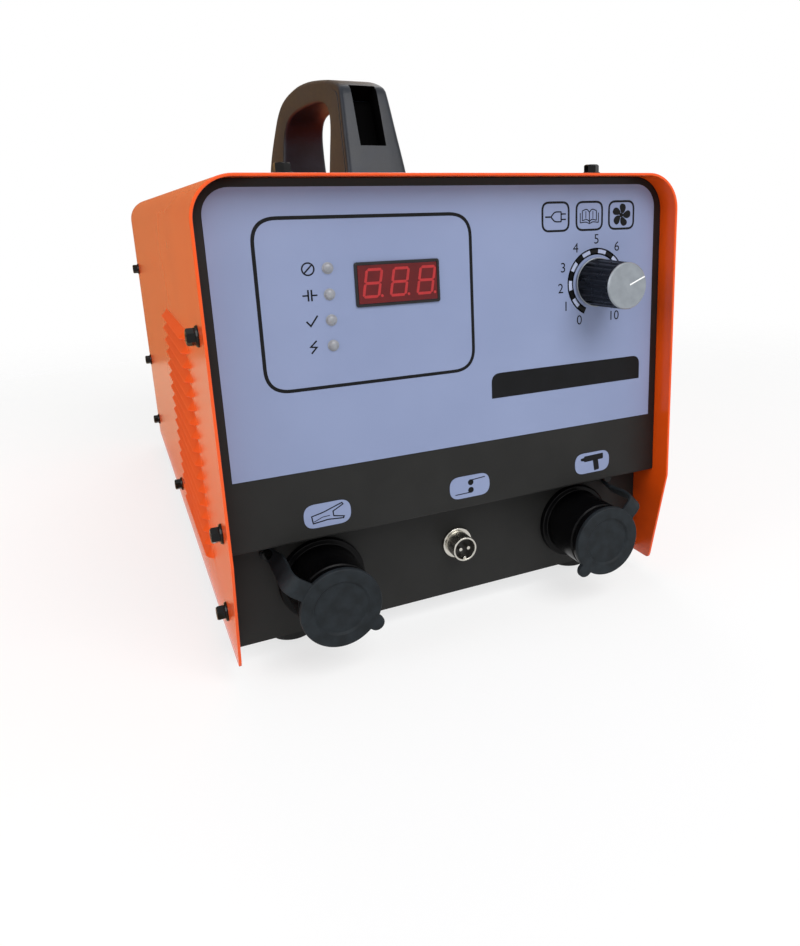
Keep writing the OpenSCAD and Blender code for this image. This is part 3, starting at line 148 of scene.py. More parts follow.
def finish(name, low, high, patch, rough, grain, bump, metal=0.0, gloss=0.5, **extra):
    """Principled surface: colour mixes low to high over patch mm, roughness runs over the pair
    rough, noise of grain mm lifts the surface by bump mm, and gloss is the specular level."""
    made = bpy.data.materials.new(name)
    made.use_nodes = True
    tree = made.node_tree
    surface = tree.nodes["Principled BSDF"]
    place = add(tree, "ShaderNodeTexCoord").outputs["Object"]
    drift = add(tree, "ShaderNodeTexNoise", {"Vector": place}, Scale=per_mm(patch), Detail=3.0)
    tone = add(tree, "ShaderNodeMapRange", {"Value": drift.outputs["Fac"]}, clamp=True)
    tone.inputs["From Min"].default_value, tone.inputs["From Max"].default_value = DRIFT
    colour = add(tree, "ShaderNodeMix", {"Factor": tone.outputs["Result"]}, data_type="RGBA")
    colour.inputs[6].default_value, colour.inputs[7].default_value = linear(low), linear(high)
    tree.links.new(colour.outputs[2], surface.inputs["Base Color"])
    sheen = add(tree, "ShaderNodeMapRange", {"Value": drift.outputs["Fac"]})
    sheen.inputs["To Min"].default_value, sheen.inputs["To Max"].default_value = rough
    tree.links.new(sheen.outputs["Result"], surface.inputs["Roughness"])
    fine = add(tree, "ShaderNodeTexNoise", {"Vector": place}, Scale=per_mm(grain), Detail=2.0)
    lift = add(tree, "ShaderNodeBump", {"Height": fine.outputs["Fac"]}, Strength=1.0, Distance=bump * MM)
    tree.links.new(lift.outputs["Normal"], surface.inputs["Normal"])
    surface.inputs["Metallic"].default_value = metal
    surface.inputs["Specular IOR Level"].default_value = gloss
    for key, value in extra.items():
        surface.inputs[key.replace("_", " ")].default_value = value
    return made


print("common finish ready")

# %% [markdown]
# The cabinet: gloss orange powder coat flows like thick paint and sets smooth under a clear
# shine. The black panels carry a fine-texture coat whose grit is near half a millimetre and
# which is matt. The label is a satin polycarbonate film.

# %% Finishes of the cabinet
# A deep even orange that mirrors the room at a glancing angle.
orange_coat = finish("orange_gloss_powder_coat", "#e24e0e", "#e6520f", 120, (0.2, 0.24), 2.2, 0.0005,
                     gloss=0.38)
# On the stretched metal of the hoods the same coat is thin and duller, so the orange shows purer.
hood_coat = finish("orange_powder_coat_on_pressed_hoods", "#e04c0c", "#e6520f", 120, (0.42, 0.5), 2.2, 0.002,
                   gloss=0.14)
# A dead black: the grit swallows most of the shine.
black_coat = finish("black_fine_texture_coat", "#171716", "#1c1c1b", 25, (0.5, 0.62), 0.7, 0.05, gloss=0.25)
# A cool blue-grey that lightens softly towards a lamp.
film = finish("label_satin_film", "#7e8aab", "#8490b1", 90, (0.42, 0.5), 0.5, 0.008, gloss=0.35)
# Printed black sits a shade duller than the film round it.
ink = finish("screen_ink_black", "#08090b", "#0c0d10", 12, (0.4, 0.5), 0.4, 0.005, gloss=0.15)
# Printed pale grey, flat and slightly blue.
pale_ink = finish("screen_ink_pale", "#a3adca", "#aab4cf", 12, (0.4, 0.5), 0.4, 0.005)
# Dipped zinc shows crystals as patches of lighter and darker grey.
zinc_sheet = finish("galvanised_sheet", "#9a9da1", "#b0b3b6", 9, (0.35, 0.5), 1.5, 0.01, metal=1.0)
print("cabinet finishes", orange_coat.name, black_coat.name, film.name)

# %% [markdown]
# Plastics and rubber. The handle is ABS with a moulded leather grain, the socket housings are a
# polished phenolic, the dust caps a matt rubber that always carries a little pale dust.

# %% Finishes of plastics and rubber
# Leather grain breaks the shine into fine grey points.
handle_abs = finish("grained_moulded_abs", "#10151d", "#161c26", 14, (0.36, 0.46), 0.9, 0.12, gloss=0.28)
# Painted shade: the inside of the deep pocket gets a near-black finish with almost no grain and almost no
# shine, standing in for the shade deep in it.
pocket_painted_shade_abs = finish("moulded_abs_with_painted_pocket_shade", "#020203", "#040404", 20, (0.8, 0.9), 2.0, 0.01, gloss=0.03)
# Polished black: dark body, narrow bright lines along its edges.
phenolic = finish("polished_phenolic", "#040405", "#080809", 30, (0.2, 0.3), 3.0, 0.01, gloss=0.1)
# Rubber bloom: a greyish black with no clear highlight.
cap_rubber = finish("moulded_dusty_rubber", "#171b1e", "#202529", 7, (0.55, 0.7), 0.5, 0.02, gloss=0.16)
# Coarser, blacker and duller than the caps.
foot_rubber = finish("pressed_foot_rubber", "#141414", "#1a1a1a", 8, (0.65, 0.8), 0.6, 0.03, gloss=0.3)
# Smooth black whose flutes show as thin light lines.
knob_plastic = finish("moulded_knob_phenolic", "#06080b", "#0b0d11", 10, (0.22, 0.34), 1.2, 0.01, gloss=0.15)
# Plain moulded black with a silky shine.
dull_plastic = finish("moulded_nylon", "#141415", "#1b1b1d", 9, (0.45, 0.6), 0.6, 0.02)
# Clear red to the eye, with a sharp highlight.
rocker_red = finish("moulded_rocker_polycarbonate", "#a81414", "#bd1b1a", 9, (0.2, 0.3), 1.5, 0.01)
# Unlit lamps look like small grey pearls.
lens_plastic = finish("moulded_milky_lens", "#7f8288", "#8f9298", 3, (0.3, 0.4), 0.6, 0.01)
# Black frame that is a little shinier than the ink.
bezel_plastic = finish("moulded_bezel_abs", "#0b0c0e", "#111214", 6, (0.35, 0.45), 0.5, 0.01, gloss=0.35)
print("plastics", handle_abs.name, phenolic.name, cap_rubber.name)

# %% [markdown]
# Metals. Nickel is a warm bright plate, zinc a cooler one, and the oxide on the screws is a thin
# black skin on steel. A metal keeps the default IOR, its colour is its reflection.

# %% Finishes of metals
# A warm mirror that is slightly clouded.
nickel = finish("nickel_plate", "#bdbab2", "#cac7bf", 5, (0.14, 0.24), 0.8, 0.003, metal=1.0)
# A cool mirror, cloudier than nickel.
zinc = finish("bright_zinc_plate", "#b4b6b8", "#c6c8ca", 4, (0.2, 0.34), 0.6, 0.006, metal=1.0)
# Oiled black steel: dark flats with crisp small glints.
oxide = finish("black_oxide_steel", "#020202", "#050505", 3, (0.07, 0.13), 0.5, 0.002, gloss=0.22)
# Yellow metal with a lathe's dull lustre.
brass = finish("turned_brass", "#b88f3e", "#c89f4c", 5, (0.18, 0.3), 0.7, 0.006, metal=1.0)
# Drawn copper, browned a little by air.
copper = finish("copper_bar", "#a8623a", "#b9734a", 12, (0.25, 0.4), 1.0, 0.006, metal=1.0)
# Pressed through a die: grey and softly streaked.
alu = finish("extruded_aluminium", "#a7aaae", "#b8bbbf", 10, (0.3, 0.42), 0.8, 0.008, metal=1.0)
# Varnished sheet edges, dark and half metallic.
core_steel = finish("varnished_core_laminations", "#3c3e42", "#4a4c50", 6, (0.4, 0.55), 0.5, 0.03, metal=0.6)
print("metals", nickel.name, zinc.name, oxide.name)

# %% [markdown]
# The power parts inside are plain but not flat: solder mask, shrink sleeve, laminate, taped coil
# and glazed ceramic each get their own drift and grain.

# %% Finishes of the parts inside
# Lacquer over copper tracks.
mask_green = finish("screened_solder_mask", "#17492b", "#1f5a36", 4, (0.3, 0.45), 0.8, 0.02)
# Plastic sleeve shrunk tight, with long soft highlights.
sleeve = finish("shrink_sleeve", "#1d3768", "#25437a", 20, (0.25, 0.35), 2.0, 0.02)
# Pressed paper board, straw coloured and dull.
laminate = finish("paper_laminate", "#c9c09f", "#d8d0b2", 6, (0.5, 0.6), 0.5, 0.02)
# Wound tape with a shallow weave.
tape = finish("coil_tape", "#8a4a1c", "#a25c28", 5, (0.4, 0.55), 1.2, 0.05)
# Fired green glaze, glassy.
ceramic = finish("glazed_ceramic", "#3a6452", "#457360", 8, (0.2, 0.3), 1.0, 0.02)
print("inside finishes", mask_green.name, sleeve.name)

# %% [markdown]
# The dial's silver cap is spun aluminium: the tool leaves rings about its axis, which the eye sees
# as a soft radial shine. Rings are a sine of the distance to the axis, wider than the real ones
# so that they show.

# %% Spun aluminium
RING_MM, RING_DEEP = 0.45, 0.004
spun = finish("spun_aluminium", "#878d93", "#91979d", 6, (0.34, 0.44), 0.6, 0.003, metal=0.6)
spun_nodes = spun.node_tree
dial_axis = ORIGIN + np.array([KNOB_X, 0, KNOB_Z]) * MM
spun_place = add(spun_nodes, "ShaderNodeTexCoord").outputs["Object"]
centred = add(spun_nodes, "ShaderNodeMapping", {"Vector": spun_place},
              Location=(-dial_axis[0], 0.0, -dial_axis[2]), Scale=(1.0, 0.0, 1.0))
from_axis = add(spun_nodes, "ShaderNodeVectorMath", {"Vector": centred.outputs["Vector"]}, operation="LENGTH")
turns = add(spun_nodes, "ShaderNodeMath", {"Value": from_axis.outputs["Value"]}, operation="MULTIPLY")
turns.inputs[1].default_value = 2 * math.pi / (RING_MM * MM)
wave = add(spun_nodes, "ShaderNodeMath", {"Value": turns.outputs[0]}, operation="SINE")
rings = add(spun_nodes, "ShaderNodeBump", {"Height": wave.outputs[0]}, Strength=1.0, Distance=RING_DEEP * MM)
spun_nodes.links.new(rings.outputs["Normal"], spun_nodes.nodes["Principled BSDF"].inputs["Normal"])
print("rings every", RING_MM, "mm about", dial_axis.round(4))

# %% [markdown]
# The display: a dark red acrylic filter over segments that are switched off. The filter shines, the segments
# sit just on its face as a brighter red
# with a faint painted glow: a small emission, though no light is on behind them.

# %% Display finishes
# A dark red pane that mirrors the room faintly.
acrylic = finish("cast_red_acrylic", "#540a0e", "#600d11", 12, (0.12, 0.18), 4.0, 0.004, gloss=0.3)
# Segments read as a lighter red through the pane, with a weak emission that paints a faint glow on the unlit
# segments.
segment_red_painted_glow = finish("segment_red_with_painted_glow", "#97161a", "#a31b1f", 3, (0.3, 0.4), 0.8, 0.004,
                     Emission_Color=linear("#c01216"), Emission_Strength=0.06)
print("display finishes", acrylic.name, segment_red_painted_glow.name)

# %% [markdown]
# Every new surface is a grid of points worked out as whole arrays. A grid becomes four-sided
# faces by counting its rows and columns, several grids join into one mesh, doubles merge, and a
# sheet gets its thickness and a fine broken edge at the end.

# %% Grid to mesh
EDGE_ANGLE = math.radians(50)


def xyz(x, y, z):
    """Three arrays, stretched to one common shape, as points."""
    return np.stack(np.broadcast_arrays(x, y, z), -1)


def grid(points, wrap_u=False, wrap_v=False):
    """Points of shape (rows, columns, 3) and the corner numbers of the faces between them."""
    nu, nv = points.shape[:2]
    rows, columns = np.arange(nu if wrap_u else nu - 1), np.arange(nv if wrap_v else nv - 1)
    i, j = np.meshgrid(rows, columns, indexing="ij")
    p, q = (i + 1) % nu, (j + 1) % nv
    faces = np.stack([i * nv + j, p * nv + j, p * nv + q, i * nv + q], -1).reshape(-1, 4)
    return points.reshape(-1, 3), faces.tolist()


def finished_mesh(carrier):
    """The mesh that an object shows once its modifiers or its letter shapes are worked out."""
    bpy.context.view_layer.update()
    return bpy.data.meshes.new_from_object(carrier.evaluated_get(bpy.context.evaluated_depsgraph_get()))


def piece(name, patches, paint, nodes=(), body="cabinet", sheet=0.0, edge=0.0, sharp=38.0):
    """Patches in machine millimetres become one mesh on a body. A sheet thickness grows inwards."""
    corners, faces, start = [], [], 0
    for co, quads in patches:
        corners.append(co)
        faces += [[k + start for k in f] for f in quads]
        start += len(co)
    mesh = bpy.data.meshes.new(name)
    mesh.from_pydata((np.concatenate(corners) * MM + ORIGIN).tolist(), [], faces)
    bm = bmesh.new()
    bm.from_mesh(mesh)
    bmesh.ops.remove_doubles(bm, verts=bm.verts, dist=1e-7)
    if not sheet:
        bmesh.ops.recalc_face_normals(bm, faces=bm.faces)
    bm.to_mesh(mesh)
    bm.free()
    made = bpy.data.objects.new(name, mesh)
    bpy.context.scene.collection.objects.link(made)
    if sheet:
        wall = made.modifiers.new("sheet", "SOLIDIFY")
        wall.thickness, wall.offset, wall.use_even_offset = sheet * MM, -1.0, True
    if edge:
        soft = made.modifiers.new("edge", "BEVEL")
        soft.width, soft.segments, soft.limit_method = edge * MM, 2, "ANGLE"
        soft.angle_limit = EDGE_ANGLE
    if sheet or edge:
        made.data = finished_mesh(made)
        made.modifiers.clear()
        made.data.name = name
    made.data.polygons.foreach_set("use_smooth", np.ones(len(made.data.polygons), bool))
    made.data.set_sharp_from_angle(angle=math.radians(sharp))
    made.data.materials.clear()
    made.data.materials.append(paint)
    if nodes:
        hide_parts(*nodes)
    if body:
        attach(made, body)
    return made


def count(*pieces):
    """Short text on what was made."""
    return ", ".join(f"{p.name} {len(p.data.polygons)} faces" for p in pieces)


print("grid of 3 x 4 points has", len(grid(np.zeros((3, 4, 3)))[1]), "faces")

# %% [markdown]
# Some helpers serve many pieces: a rounded outline, a profile turned about an axis that runs front
# to back, a smooth curve through given points, closed ends for a tube, and a second finish on some
# of a piece's faces.

# %% Outline helpers
def rounded(points, r, k=4, closed=False):
    """Each corner becomes a quadratic curve between two points at distance r on its two edges."""
    p = np.array(points, float)
    r = np.broadcast_to(np.array(r, float).reshape(-1, 1), (len(p), 1))
    before = np.roll(p, 1, 0) if closed else np.vstack([p[:1], p[:-1]])
    after = np.roll(p, -1, 0) if closed else np.vstack([p[1:], p[-1:]])
    ends = []
    for q in (before, after):
        d = q - p
        long = np.linalg.norm(d, axis=1, keepdims=True)
        ends.append((p + d * np.minimum(r, long * 0.48) / np.maximum(long, 1e-9))[:, None])
    t = np.linspace(0, 1, k + 1)[None, :, None]
    curve = (1 - t) ** 2 * ends[0] + 2 * t * (1 - t) * p[:, None] + t * t * ends[1]
    return curve.reshape(-1, p.shape[1])


def lathe(profile, centre, n=96, radius=None, closed=False):
    """Profile points (r, y) turned about the Y axis through centre (x, z): x is r cos a, z is r sin a."""
    r, y = np.array(profile, float).T
    a = (np.arange(n) * 2 * np.pi / n)[:, None]
    reach = r[None] if radius is None else radius(a, r[None], y[None])
    return grid(xyz(centre[0] + reach * np.cos(a), y, centre[1] + reach * np.sin(a)), True, closed)


def spline(points, n):
    """A Catmull-Rom curve through the points, sampled at n even steps or at shares n of its length."""
    p = np.array(points, float)
    q = np.vstack([2 * p[0] - p[1], p, 2 * p[-1] - p[-2]])
    t = np.linspace(0, len(p) - 1 - 1e-9, 40 * len(p))
    i, f = t.astype(int), (t % 1)[:, None]
    a, b, c, d = q[i], q[i + 1], q[i + 2], q[i + 3]
    fine = 0.5 * (2 * b + (c - a) * f + (2 * a - 5 * b + 4 * c - d) * f ** 2
                  + (3 * b - a - 3 * c + d) * f ** 3)
    gone = np.concatenate([[0], np.cumsum(np.linalg.norm(np.diff(fine, axis=0), axis=1))])
    even = np.linspace(0, gone[-1], n) if np.isscalar(n) else np.asarray(n) * gone[-1]
    return np.stack([np.interp(even, gone, fine[:, k]) for k in range(p.shape[1])], -1)


def with_ends(rings):
    """Closes a tube: a row before and a row after, all at the middle of the first and the last ring."""
    middle = rings.mean(1, keepdims=True)
    first, last = (np.broadcast_to(m, (1, *rings.shape[1:])) for m in (middle[:1], middle[-1:]))
    return np.concatenate([first, rings, last])


def face_middles(made):
    """Middle of each face of a piece in machine millimetres."""
    flat = np.zeros(len(made.data.polygons) * 3)
    made.data.polygons.foreach_get("center", flat)
    return (flat.reshape(-1, 3) - ORIGIN) / MM


def paint_faces(made, paint, chosen):
    """A second finish on the chosen faces of a piece."""
    made.data.materials.append(paint)
    made.data.polygons.foreach_set("material_index", chosen.astype(np.int32))


print("a rounded square has", len(rounded([[0, 0], [1, 0], [1, 1], [0, 1]], 0.2, closed=True)), "points")

# %% [markdown]
# The cover is one sheet folded twice, with seventeen louvres pressed into each side. A press slits
# the sheet along a line and pushes the metal above the slit outwards into a hood. So the side is
# built as strips that end at each slit: below the slit the sheet is flat, above it the strip
# starts at the full height of the hood and runs back to flat. Where a slit ends, the two
# strips share their points and weld into one sheet again.

# %% Cover: rows and columns
LOUVRES, PITCH_Z, LOUVRE_LOW, LOUVRE_FRONT, LOUVRE_L = 17, 8.75, 39.0, 84.0, 142.0
HOOD_OUT, HOOD_RISE, HOOD_RUN, HOOD_LEAN = 4.2, 5.0, 10.0, 3.0
hood_rows = np.array([0, 0.15, 0.3, 0.45, 0.6, 0.75, 0.9, 1.0])
run_cols = np.linspace(0, HOOD_RUN + HOOD_LEAN, 11)
TIP_CUT = TIP_R / math.tan((math.pi - math.atan2(FOLD_Z, TIP_BACK)) / 2)
TIP_END, LEVEL_RUN = TIP_BACK + 8.0, 40.0
back_end = LOUVRE_FRONT + LOUVRE_L
cols = np.concatenate([
    np.linspace(0, TIP_END, 26), np.linspace(TIP_END, LOUVRE_FRONT, 6), LOUVRE_FRONT + run_cols,
    np.linspace(LOUVRE_FRONT, back_end, 9), back_end - run_cols, np.linspace(back_end, COVER_D, 14)])
cols = np.unique(cols.round(4))


def low_edge(y):
    """Lower edge of the side: a slant from the fold height down to the tip, rounded into the level edge."""
    corner = rounded([[0, FOLD_Z], [TIP_BACK, 0], [TIP_BACK + LEVEL_RUN, 0]], [0.0, TIP_CUT, 0.0], 8)
    return np.interp(y, corner[:, 0], corner[:, 1])


def hood_height(y, q):
    """Hood above the sheet: falls straight from the mouth up, with a smooth step at both ends that
    starts later higher up."""
    e = np.clip((np.minimum(y - LOUVRE_FRONT, back_end - y) - HOOD_LEAN * q) / HOOD_RUN, 0, 1)
    return HOOD_OUT * (1 - q) * e * e * (3 - 2 * e)


print("cover columns", len(cols), "tip edge at", low_edge(np.array([0.0, 10.0, 30.0])).round(1))

# %% Cover: strips, bends and top
SQUEEZE_Z, FLAT, PROUD = 120.0, -1.0, 0.1


def side_strip(z_rows, q_rows, side):
    """One strip of a side: rows of height z with hood height q, squeezed above the slanted lower edge."""
    z, y = np.meshgrid(z_rows, cols, indexing="ij")
    q = np.broadcast_to(np.array(q_rows)[:, None], z.shape)
    low = low_edge(y)
    z = np.where(z < SQUEEZE_Z, low + (SQUEEZE_Z - low) * z / SQUEEZE_Z, z)
    out = np.where(q < 0, 0.0, hood_height(y, np.clip(q, 0, 1)))
    points = xyz(side * (COVER_W / 2 + out), y, z)
    return grid(points if side < 0 else points[:, ::-1])


mouths = LOUVRE_LOW + PITCH_Z * np.arange(LOUVRES + 1)
cover_patches = []
for side in (-1, 1):
    cover_patches.append(side_strip(np.linspace(0, mouths[0], 8), [FLAT] * 8, side))
    for mouth, upper in zip(mouths[:-1], mouths[1:]):
        rows = np.append(mouth + HOOD_RISE * hood_rows, upper)
        cover_patches.append(side_strip(rows, np.append(hood_rows, FLAT), side))
    cover_patches.append(side_strip(np.linspace(mouths[-1], COVER_H - BEND_R, 6), [FLAT] * 6, side))
bend = np.linspace(np.pi, np.pi / 2, 17)
roof_half = COVER_W / 2 - BEND_R
arc = np.stack([-roof_half + BEND_R * np.cos(bend), COVER_H - BEND_R + BEND_R * np.sin(bend)], -1)
roof_flat = np.stack([np.linspace(-roof_half, roof_half, 9)[1:-1], np.full(7, COVER_H)], -1)
roof = np.vstack([arc, roof_flat, (arc * [-1, 1])[::-1]])
cover_patches.append(grid(xyz(roof[:, :1], cols, roof[:, 1:])))
cover = piece("louvred_cover", cover_patches, orange_coat, ["cover"],
              sheet=SHEET, edge=0.25)
on_hoods = np.abs(face_middles(cover)[:, 0]) > COVER_W / 2 + PROUD
paint_faces(cover, hood_coat, on_hoods)
print(count(cover), "of which on hoods", int(on_hoods.sum()))

# %% [markdown]
# The front panel is folded like a step: upper face, a short shelf, lower face set back. A press
# brake never leaves a sharp line, so both folds get a small radius, which catches the light along
# the shelf. The upper corners follow the bends of the cover.

# %% Front panel
FOLD_R, FLANGE_D = 1.7, 24.0
corner_a = np.linspace(np.pi / 2, 0, 13)
top_z = PANEL_TOP - PANEL_R + PANEL_R * np.sin(corner_a)
top_half = PANEL_W / 2 - PANEL_R + PANEL_R * np.cos(corner_a)
section = rounded([[UPPER_Y, top_z[-1]], [UPPER_Y, FOLD_Z], [LOWER_Y, FOLD_Z], [LOWER_Y, LOW_Z]], FOLD_R, 6)
section = np.vstack([np.stack([np.full(13, UPPER_Y), top_z], -1), section[7:-7], [[LOWER_Y, LOW_Z]]])
halves = np.append(top_half, np.full(len(section) - 13, PANEL_W / 2))
across = np.linspace(-1, 1, 13)
face = xyz(halves[:, None] * across, section[:, :1], section[:, 1:])
edge_line = np.vstack([[[-PANEL_W / 2, FOLD_Z + SHEET]], np.stack([-top_half, top_z], -1)[::-1],
                       np.stack([top_half, top_z], -1), [[PANEL_W / 2, FOLD_Z + SHEET]]])
flange = xyz(edge_line[:, :1], np.array([UPPER_Y + SHEET, UPPER_Y + FLANGE_D]), edge_line[:, 1:])
front = piece("folded_front_panel", [grid(face), grid(flange)], black_coat,
              ["front_panel"], sheet=SHEET, edge=0.2)
print(count(front))

# %% [markdown]
# The label film lies on the upper face with round upper corners. It is a thin sheet with a clean
# cut edge, so it is a grid whose width follows the corner circles, given a fraction of a millimetre.

# %% Label film
LABEL_HALF, LABEL_LOW, LABEL_TOP, LABEL_R, LABEL_T = 137.7, 110.1, 261.9, 14.0, 0.38
label_a = np.linspace(np.pi / 2, 0, 11)
label_z = np.append(LABEL_TOP - LABEL_R + LABEL_R * np.sin(label_a),
                    np.linspace(LABEL_TOP - LABEL_R, LABEL_LOW, 9)[1:])
label_half = np.append(LABEL_HALF - LABEL_R + LABEL_R * np.cos(label_a), np.full(8, LABEL_HALF))
label_grid = xyz(label_half[:, None] * across, FACE_Y, label_z[:, None])
label = piece("label_sheet", [grid(label_grid)], film, ["panel_overlay"], sheet=LABEL_T)
print(count(label))

# %% [markdown]
# Print is ink of about a twentieth of a millimetre. Lines are strips laid along a path, solid
# signs are outlines filled from their centre. Both get the ink's thickness, so they are real
# shapes and not a picture on the film.

# %% Ink helpers
INK = 0.05
PRINT_Y = FACE_Y - INK


def stroke(path, width, y=PRINT_Y, closed=False, thick=INK):
    """A flat line: half the width is laid off to both sides of the path (x, z) along its mean normal."""
    p = np.array(path, float)
    after, before = np.roll(p, -1, 0), np.roll(p, 1, 0)
    if not closed:
        after[-1], before[0] = 2 * p[-1] - p[-2], 2 * p[0] - p[1]
    d1, d0 = after - p, p - before
    d1, d0 = (d / np.maximum(np.linalg.norm(d, axis=1, keepdims=True), 1e-9) for d in (d1, d0))
    t = d1 + d0
    t /= np.maximum(np.linalg.norm(t, axis=1, keepdims=True), 1e-9)
    side = np.stack([-t[:, 1], t[:, 0]], -1)
    grow = 1 / np.clip((side * np.stack([-d1[:, 1], d1[:, 0]], -1)).sum(1, keepdims=True), 0.5, 1)
    off = side * grow * width / 2
    flat = np.stack([p + off, p - off, p - off, p + off], 1)
    depth = np.array([y, y, y + thick, y + thick])
    co, faces = grid(xyz(flat[..., 0], depth, flat[..., 1]), closed, True)
    if not closed:
        faces += [[0, 1, 2, 3], list(range(len(co) - 4, len(co)))]
    return co, faces


def plate(outline, y=PRINT_Y, thick=INK):
    """A filled sign: rings from the middle of an outline (x, z) to its rim in front, and back behind."""
    o = np.array(outline, float)
    c = np.broadcast_to(o.mean(0), o.shape)
    rows = np.stack([c, (c + o) / 2, o, o, c], 1)
    depth = np.array([y, y, y, y + thick, y + thick])
    return grid(xyz(rows[..., 0], depth, rows[..., 1]), True)


def box_outline(x0, z0, x1, z1, r, k=6):
    """Outline of a rectangle with round corners."""
    return rounded([[x0, z0], [x1, z0], [x1, z1], [x0, z1]], r, k, True)


def ring_outline(x, z, r, n=24):
    """Outline of a circle."""
    a = np.arange(n) * 2 * np.pi / n
    return np.stack([x + r * np.cos(a), z + r * np.sin(a)], -1)


print("ink stands", INK, "mm proud")

# %% [markdown]
# The label's own marks: the thin frame round the lamps and the display, a plain dark bar, and
# small signs beside the four lamps: a crossed ring, a capacitor, a tick and a spark.

# %% Frame, bar and lamp signs
LAMP_X, SIGN_X = -77.6, -88.1
LAMP_Z = np.array([178.9, 192.7, 206.5, 220.3])
LINE, BOLD, FRAME_LINE = 0.8, 0.9, 1.9
marks = [stroke(box_outline(-115, 156.4, 6.5, 246.6, 13, 10), FRAME_LINE, closed=True)]
bar = rounded([[18, 136.4], [129, 136.4], [129, 152], [18, 152]], [0.4, 0.4, 6.0, 6.0], 6, True)
marks.append(plate(bar))
marks.append(stroke(ring_outline(SIGN_X, LAMP_Z[3], 3.2), LINE, closed=True))
lamp_signs = [(3, LINE, [[-2.2, -2.2], [2.2, 2.2]]),
              (2, BOLD, [[-0.9, -3], [-0.9, 3]]), (2, BOLD, [[0.9, -3], [0.9, 3]]),
              (2, LINE, [[-0.9, 0], [-4, 0]]), (2, LINE, [[0.9, 0], [4, 0]]),
              (1, BOLD, [[-3, 0.2], [-0.8, -2.4], [3.2, 3]]),
              (0, BOLD, [[1.6, 3.4], [-1.8, 0.2], [1.4, -0.2], [-1.6, -3.4]])]
marks += [stroke(np.array(path) + [SIGN_X, LAMP_Z[k]], width) for k, width, path in lamp_signs]
label_marks = piece("label_marks", marks, ink)
print(count(label_marks))

# %% [markdown]
# Three square signs at the upper right: a mains plug, an open book, a fan. They are generic signs
# that tell what to do before switching on, drawn as lines and petals.

# %% Plug, book and fan signs
SQUARE_LINE, PAGE_LINE, SIGN_Z, PLUG_X, BOOK_X, FAN_X = 1.3, 0.6, 243.3, 60.5, 88.15, 112.2
signs = [stroke(box_outline(x0, 235, x1, 251.7, 4.6, 6), SQUARE_LINE, closed=True)
         for x0, x1 in ((54.6, 73.1), (78.7, 97.6), (102.8, 121.6))]
plug = rounded([[2.6, 2.9], [7.2, 2.9], [7.2, -2.9], [2.6, -2.9], [0, 0]], [1.6, 0.3, 0.3, 1.6, 0.8], 4, True)
signs.append(stroke(plug + [PLUG_X, SIGN_Z], LINE, closed=True))
plug_lines = ((BOLD, [[-4.0, 0], [0, 0]]), (LINE, [[7.2, -1.6], [10.6, -1.6]]),
              (LINE, [[7.2, 1.6], [10.6, 1.6]]))
signs += [stroke(np.array(path) + [PLUG_X, SIGN_Z], width) for width, path in plug_lines]
for s in (-1, 1):
    for reach, low, top, swell in ((5.2, 240.6, 246.4, 0.65), (6.7, 239.3, 245.2, 0.4)):
        page = BOOK_X + s * np.array([0.0, 0.4, 1.0]) * reach
        signs.append(stroke(spline(np.stack([page, [low - 0.6, low + swell, low]], -1), 10), PAGE_LINE))
        signs.append(stroke([[page[2], low], [page[2], top]], PAGE_LINE))
    top_edge = spline([[BOOK_X, 245.6], [BOOK_X + s * 2.1, 247.3], [BOOK_X + s * 5.2, 246.4]], 10)
    signs.append(stroke(top_edge, PAGE_LINE))
    signs.append(stroke([[BOOK_X + s * 2.6, 241.8], [BOOK_X + s * 2.6, 246.2]], 0.5))
signs.append(stroke([[BOOK_X, 239.0], [BOOK_X, 245.6]], PAGE_LINE))
petal = spline([[0.7, 0], [2.0, -1.9], [4.6, -2.7], [6.7, -1.6], [6.9, 1.0], [5.2, 2.0], [3.0, 1.3],
                [0.7, 0]], 26)[:-1]
for petal_turn in np.radians(72 * np.arange(5) + 10):
    c, s = math.cos(petal_turn), math.sin(petal_turn)
    signs.append(plate(petal @ np.array([[c, s], [-s, c]]) + [FAN_X, SIGN_Z]))
signs.append(plate(ring_outline(FAN_X, SIGN_Z, 1.3)))
label_signs = piece("label_signs", signs, ink)
print(count(label_signs))

# %% [markdown]
# The dial scale is a printed ring of dark and pale blocks over three hundred degrees, with the
# numbers 0 to 10 around it. Blocks are sectors: an arc carried between two radii.

# %% Dial scale
DIAL_FROM, DIAL_SWEEP, BLOCKS, BLOCK_R = 245.0, 300.0, 17, 19.2
DARK_W, PALE_W, RIM_LINE, RIM_R = 3.9, 3.2, 0.95, (17.6, 20.8)


def sector(a0, a1, r, width, n=8):
    """An arc of ink about the dial's axis from angle a0 to a1 in degrees."""
    a = np.radians(np.linspace(a0, a1, n))
    return stroke(np.stack([KNOB_X + r * np.cos(a), KNOB_Z + r * np.sin(a)], -1), width)


block_ends = DIAL_FROM - DIAL_SWEEP / BLOCKS * np.arange(BLOCKS + 1)
blocks = list(zip(block_ends[:-1], block_ends[1:]))
scale = [sector(a0, a1, BLOCK_R, DARK_W) for a0, a1 in blocks[::2]]
scale += [sector(DIAL_FROM, DIAL_FROM - DIAL_SWEEP, r, RIM_LINE, 90) for r in RIM_R]
dial_blocks = piece("dial_blocks", scale, ink)
pale = [sector(a0, a1, BLOCK_R, PALE_W) for a0, a1 in blocks[1::2]]
dial_pale = piece("dial_pale_blocks", pale, pale_ink)
print(count(dial_blocks, dial_pale))

# %% Dial numbers
NUMBER_MM, NUMBER_R, NUMBER_T = 8.4, 26.4, 0.03
NUMBER_TURN = [152, 122, 96, 68, 35.5, 0, -36, -76, -100, -124, -148]


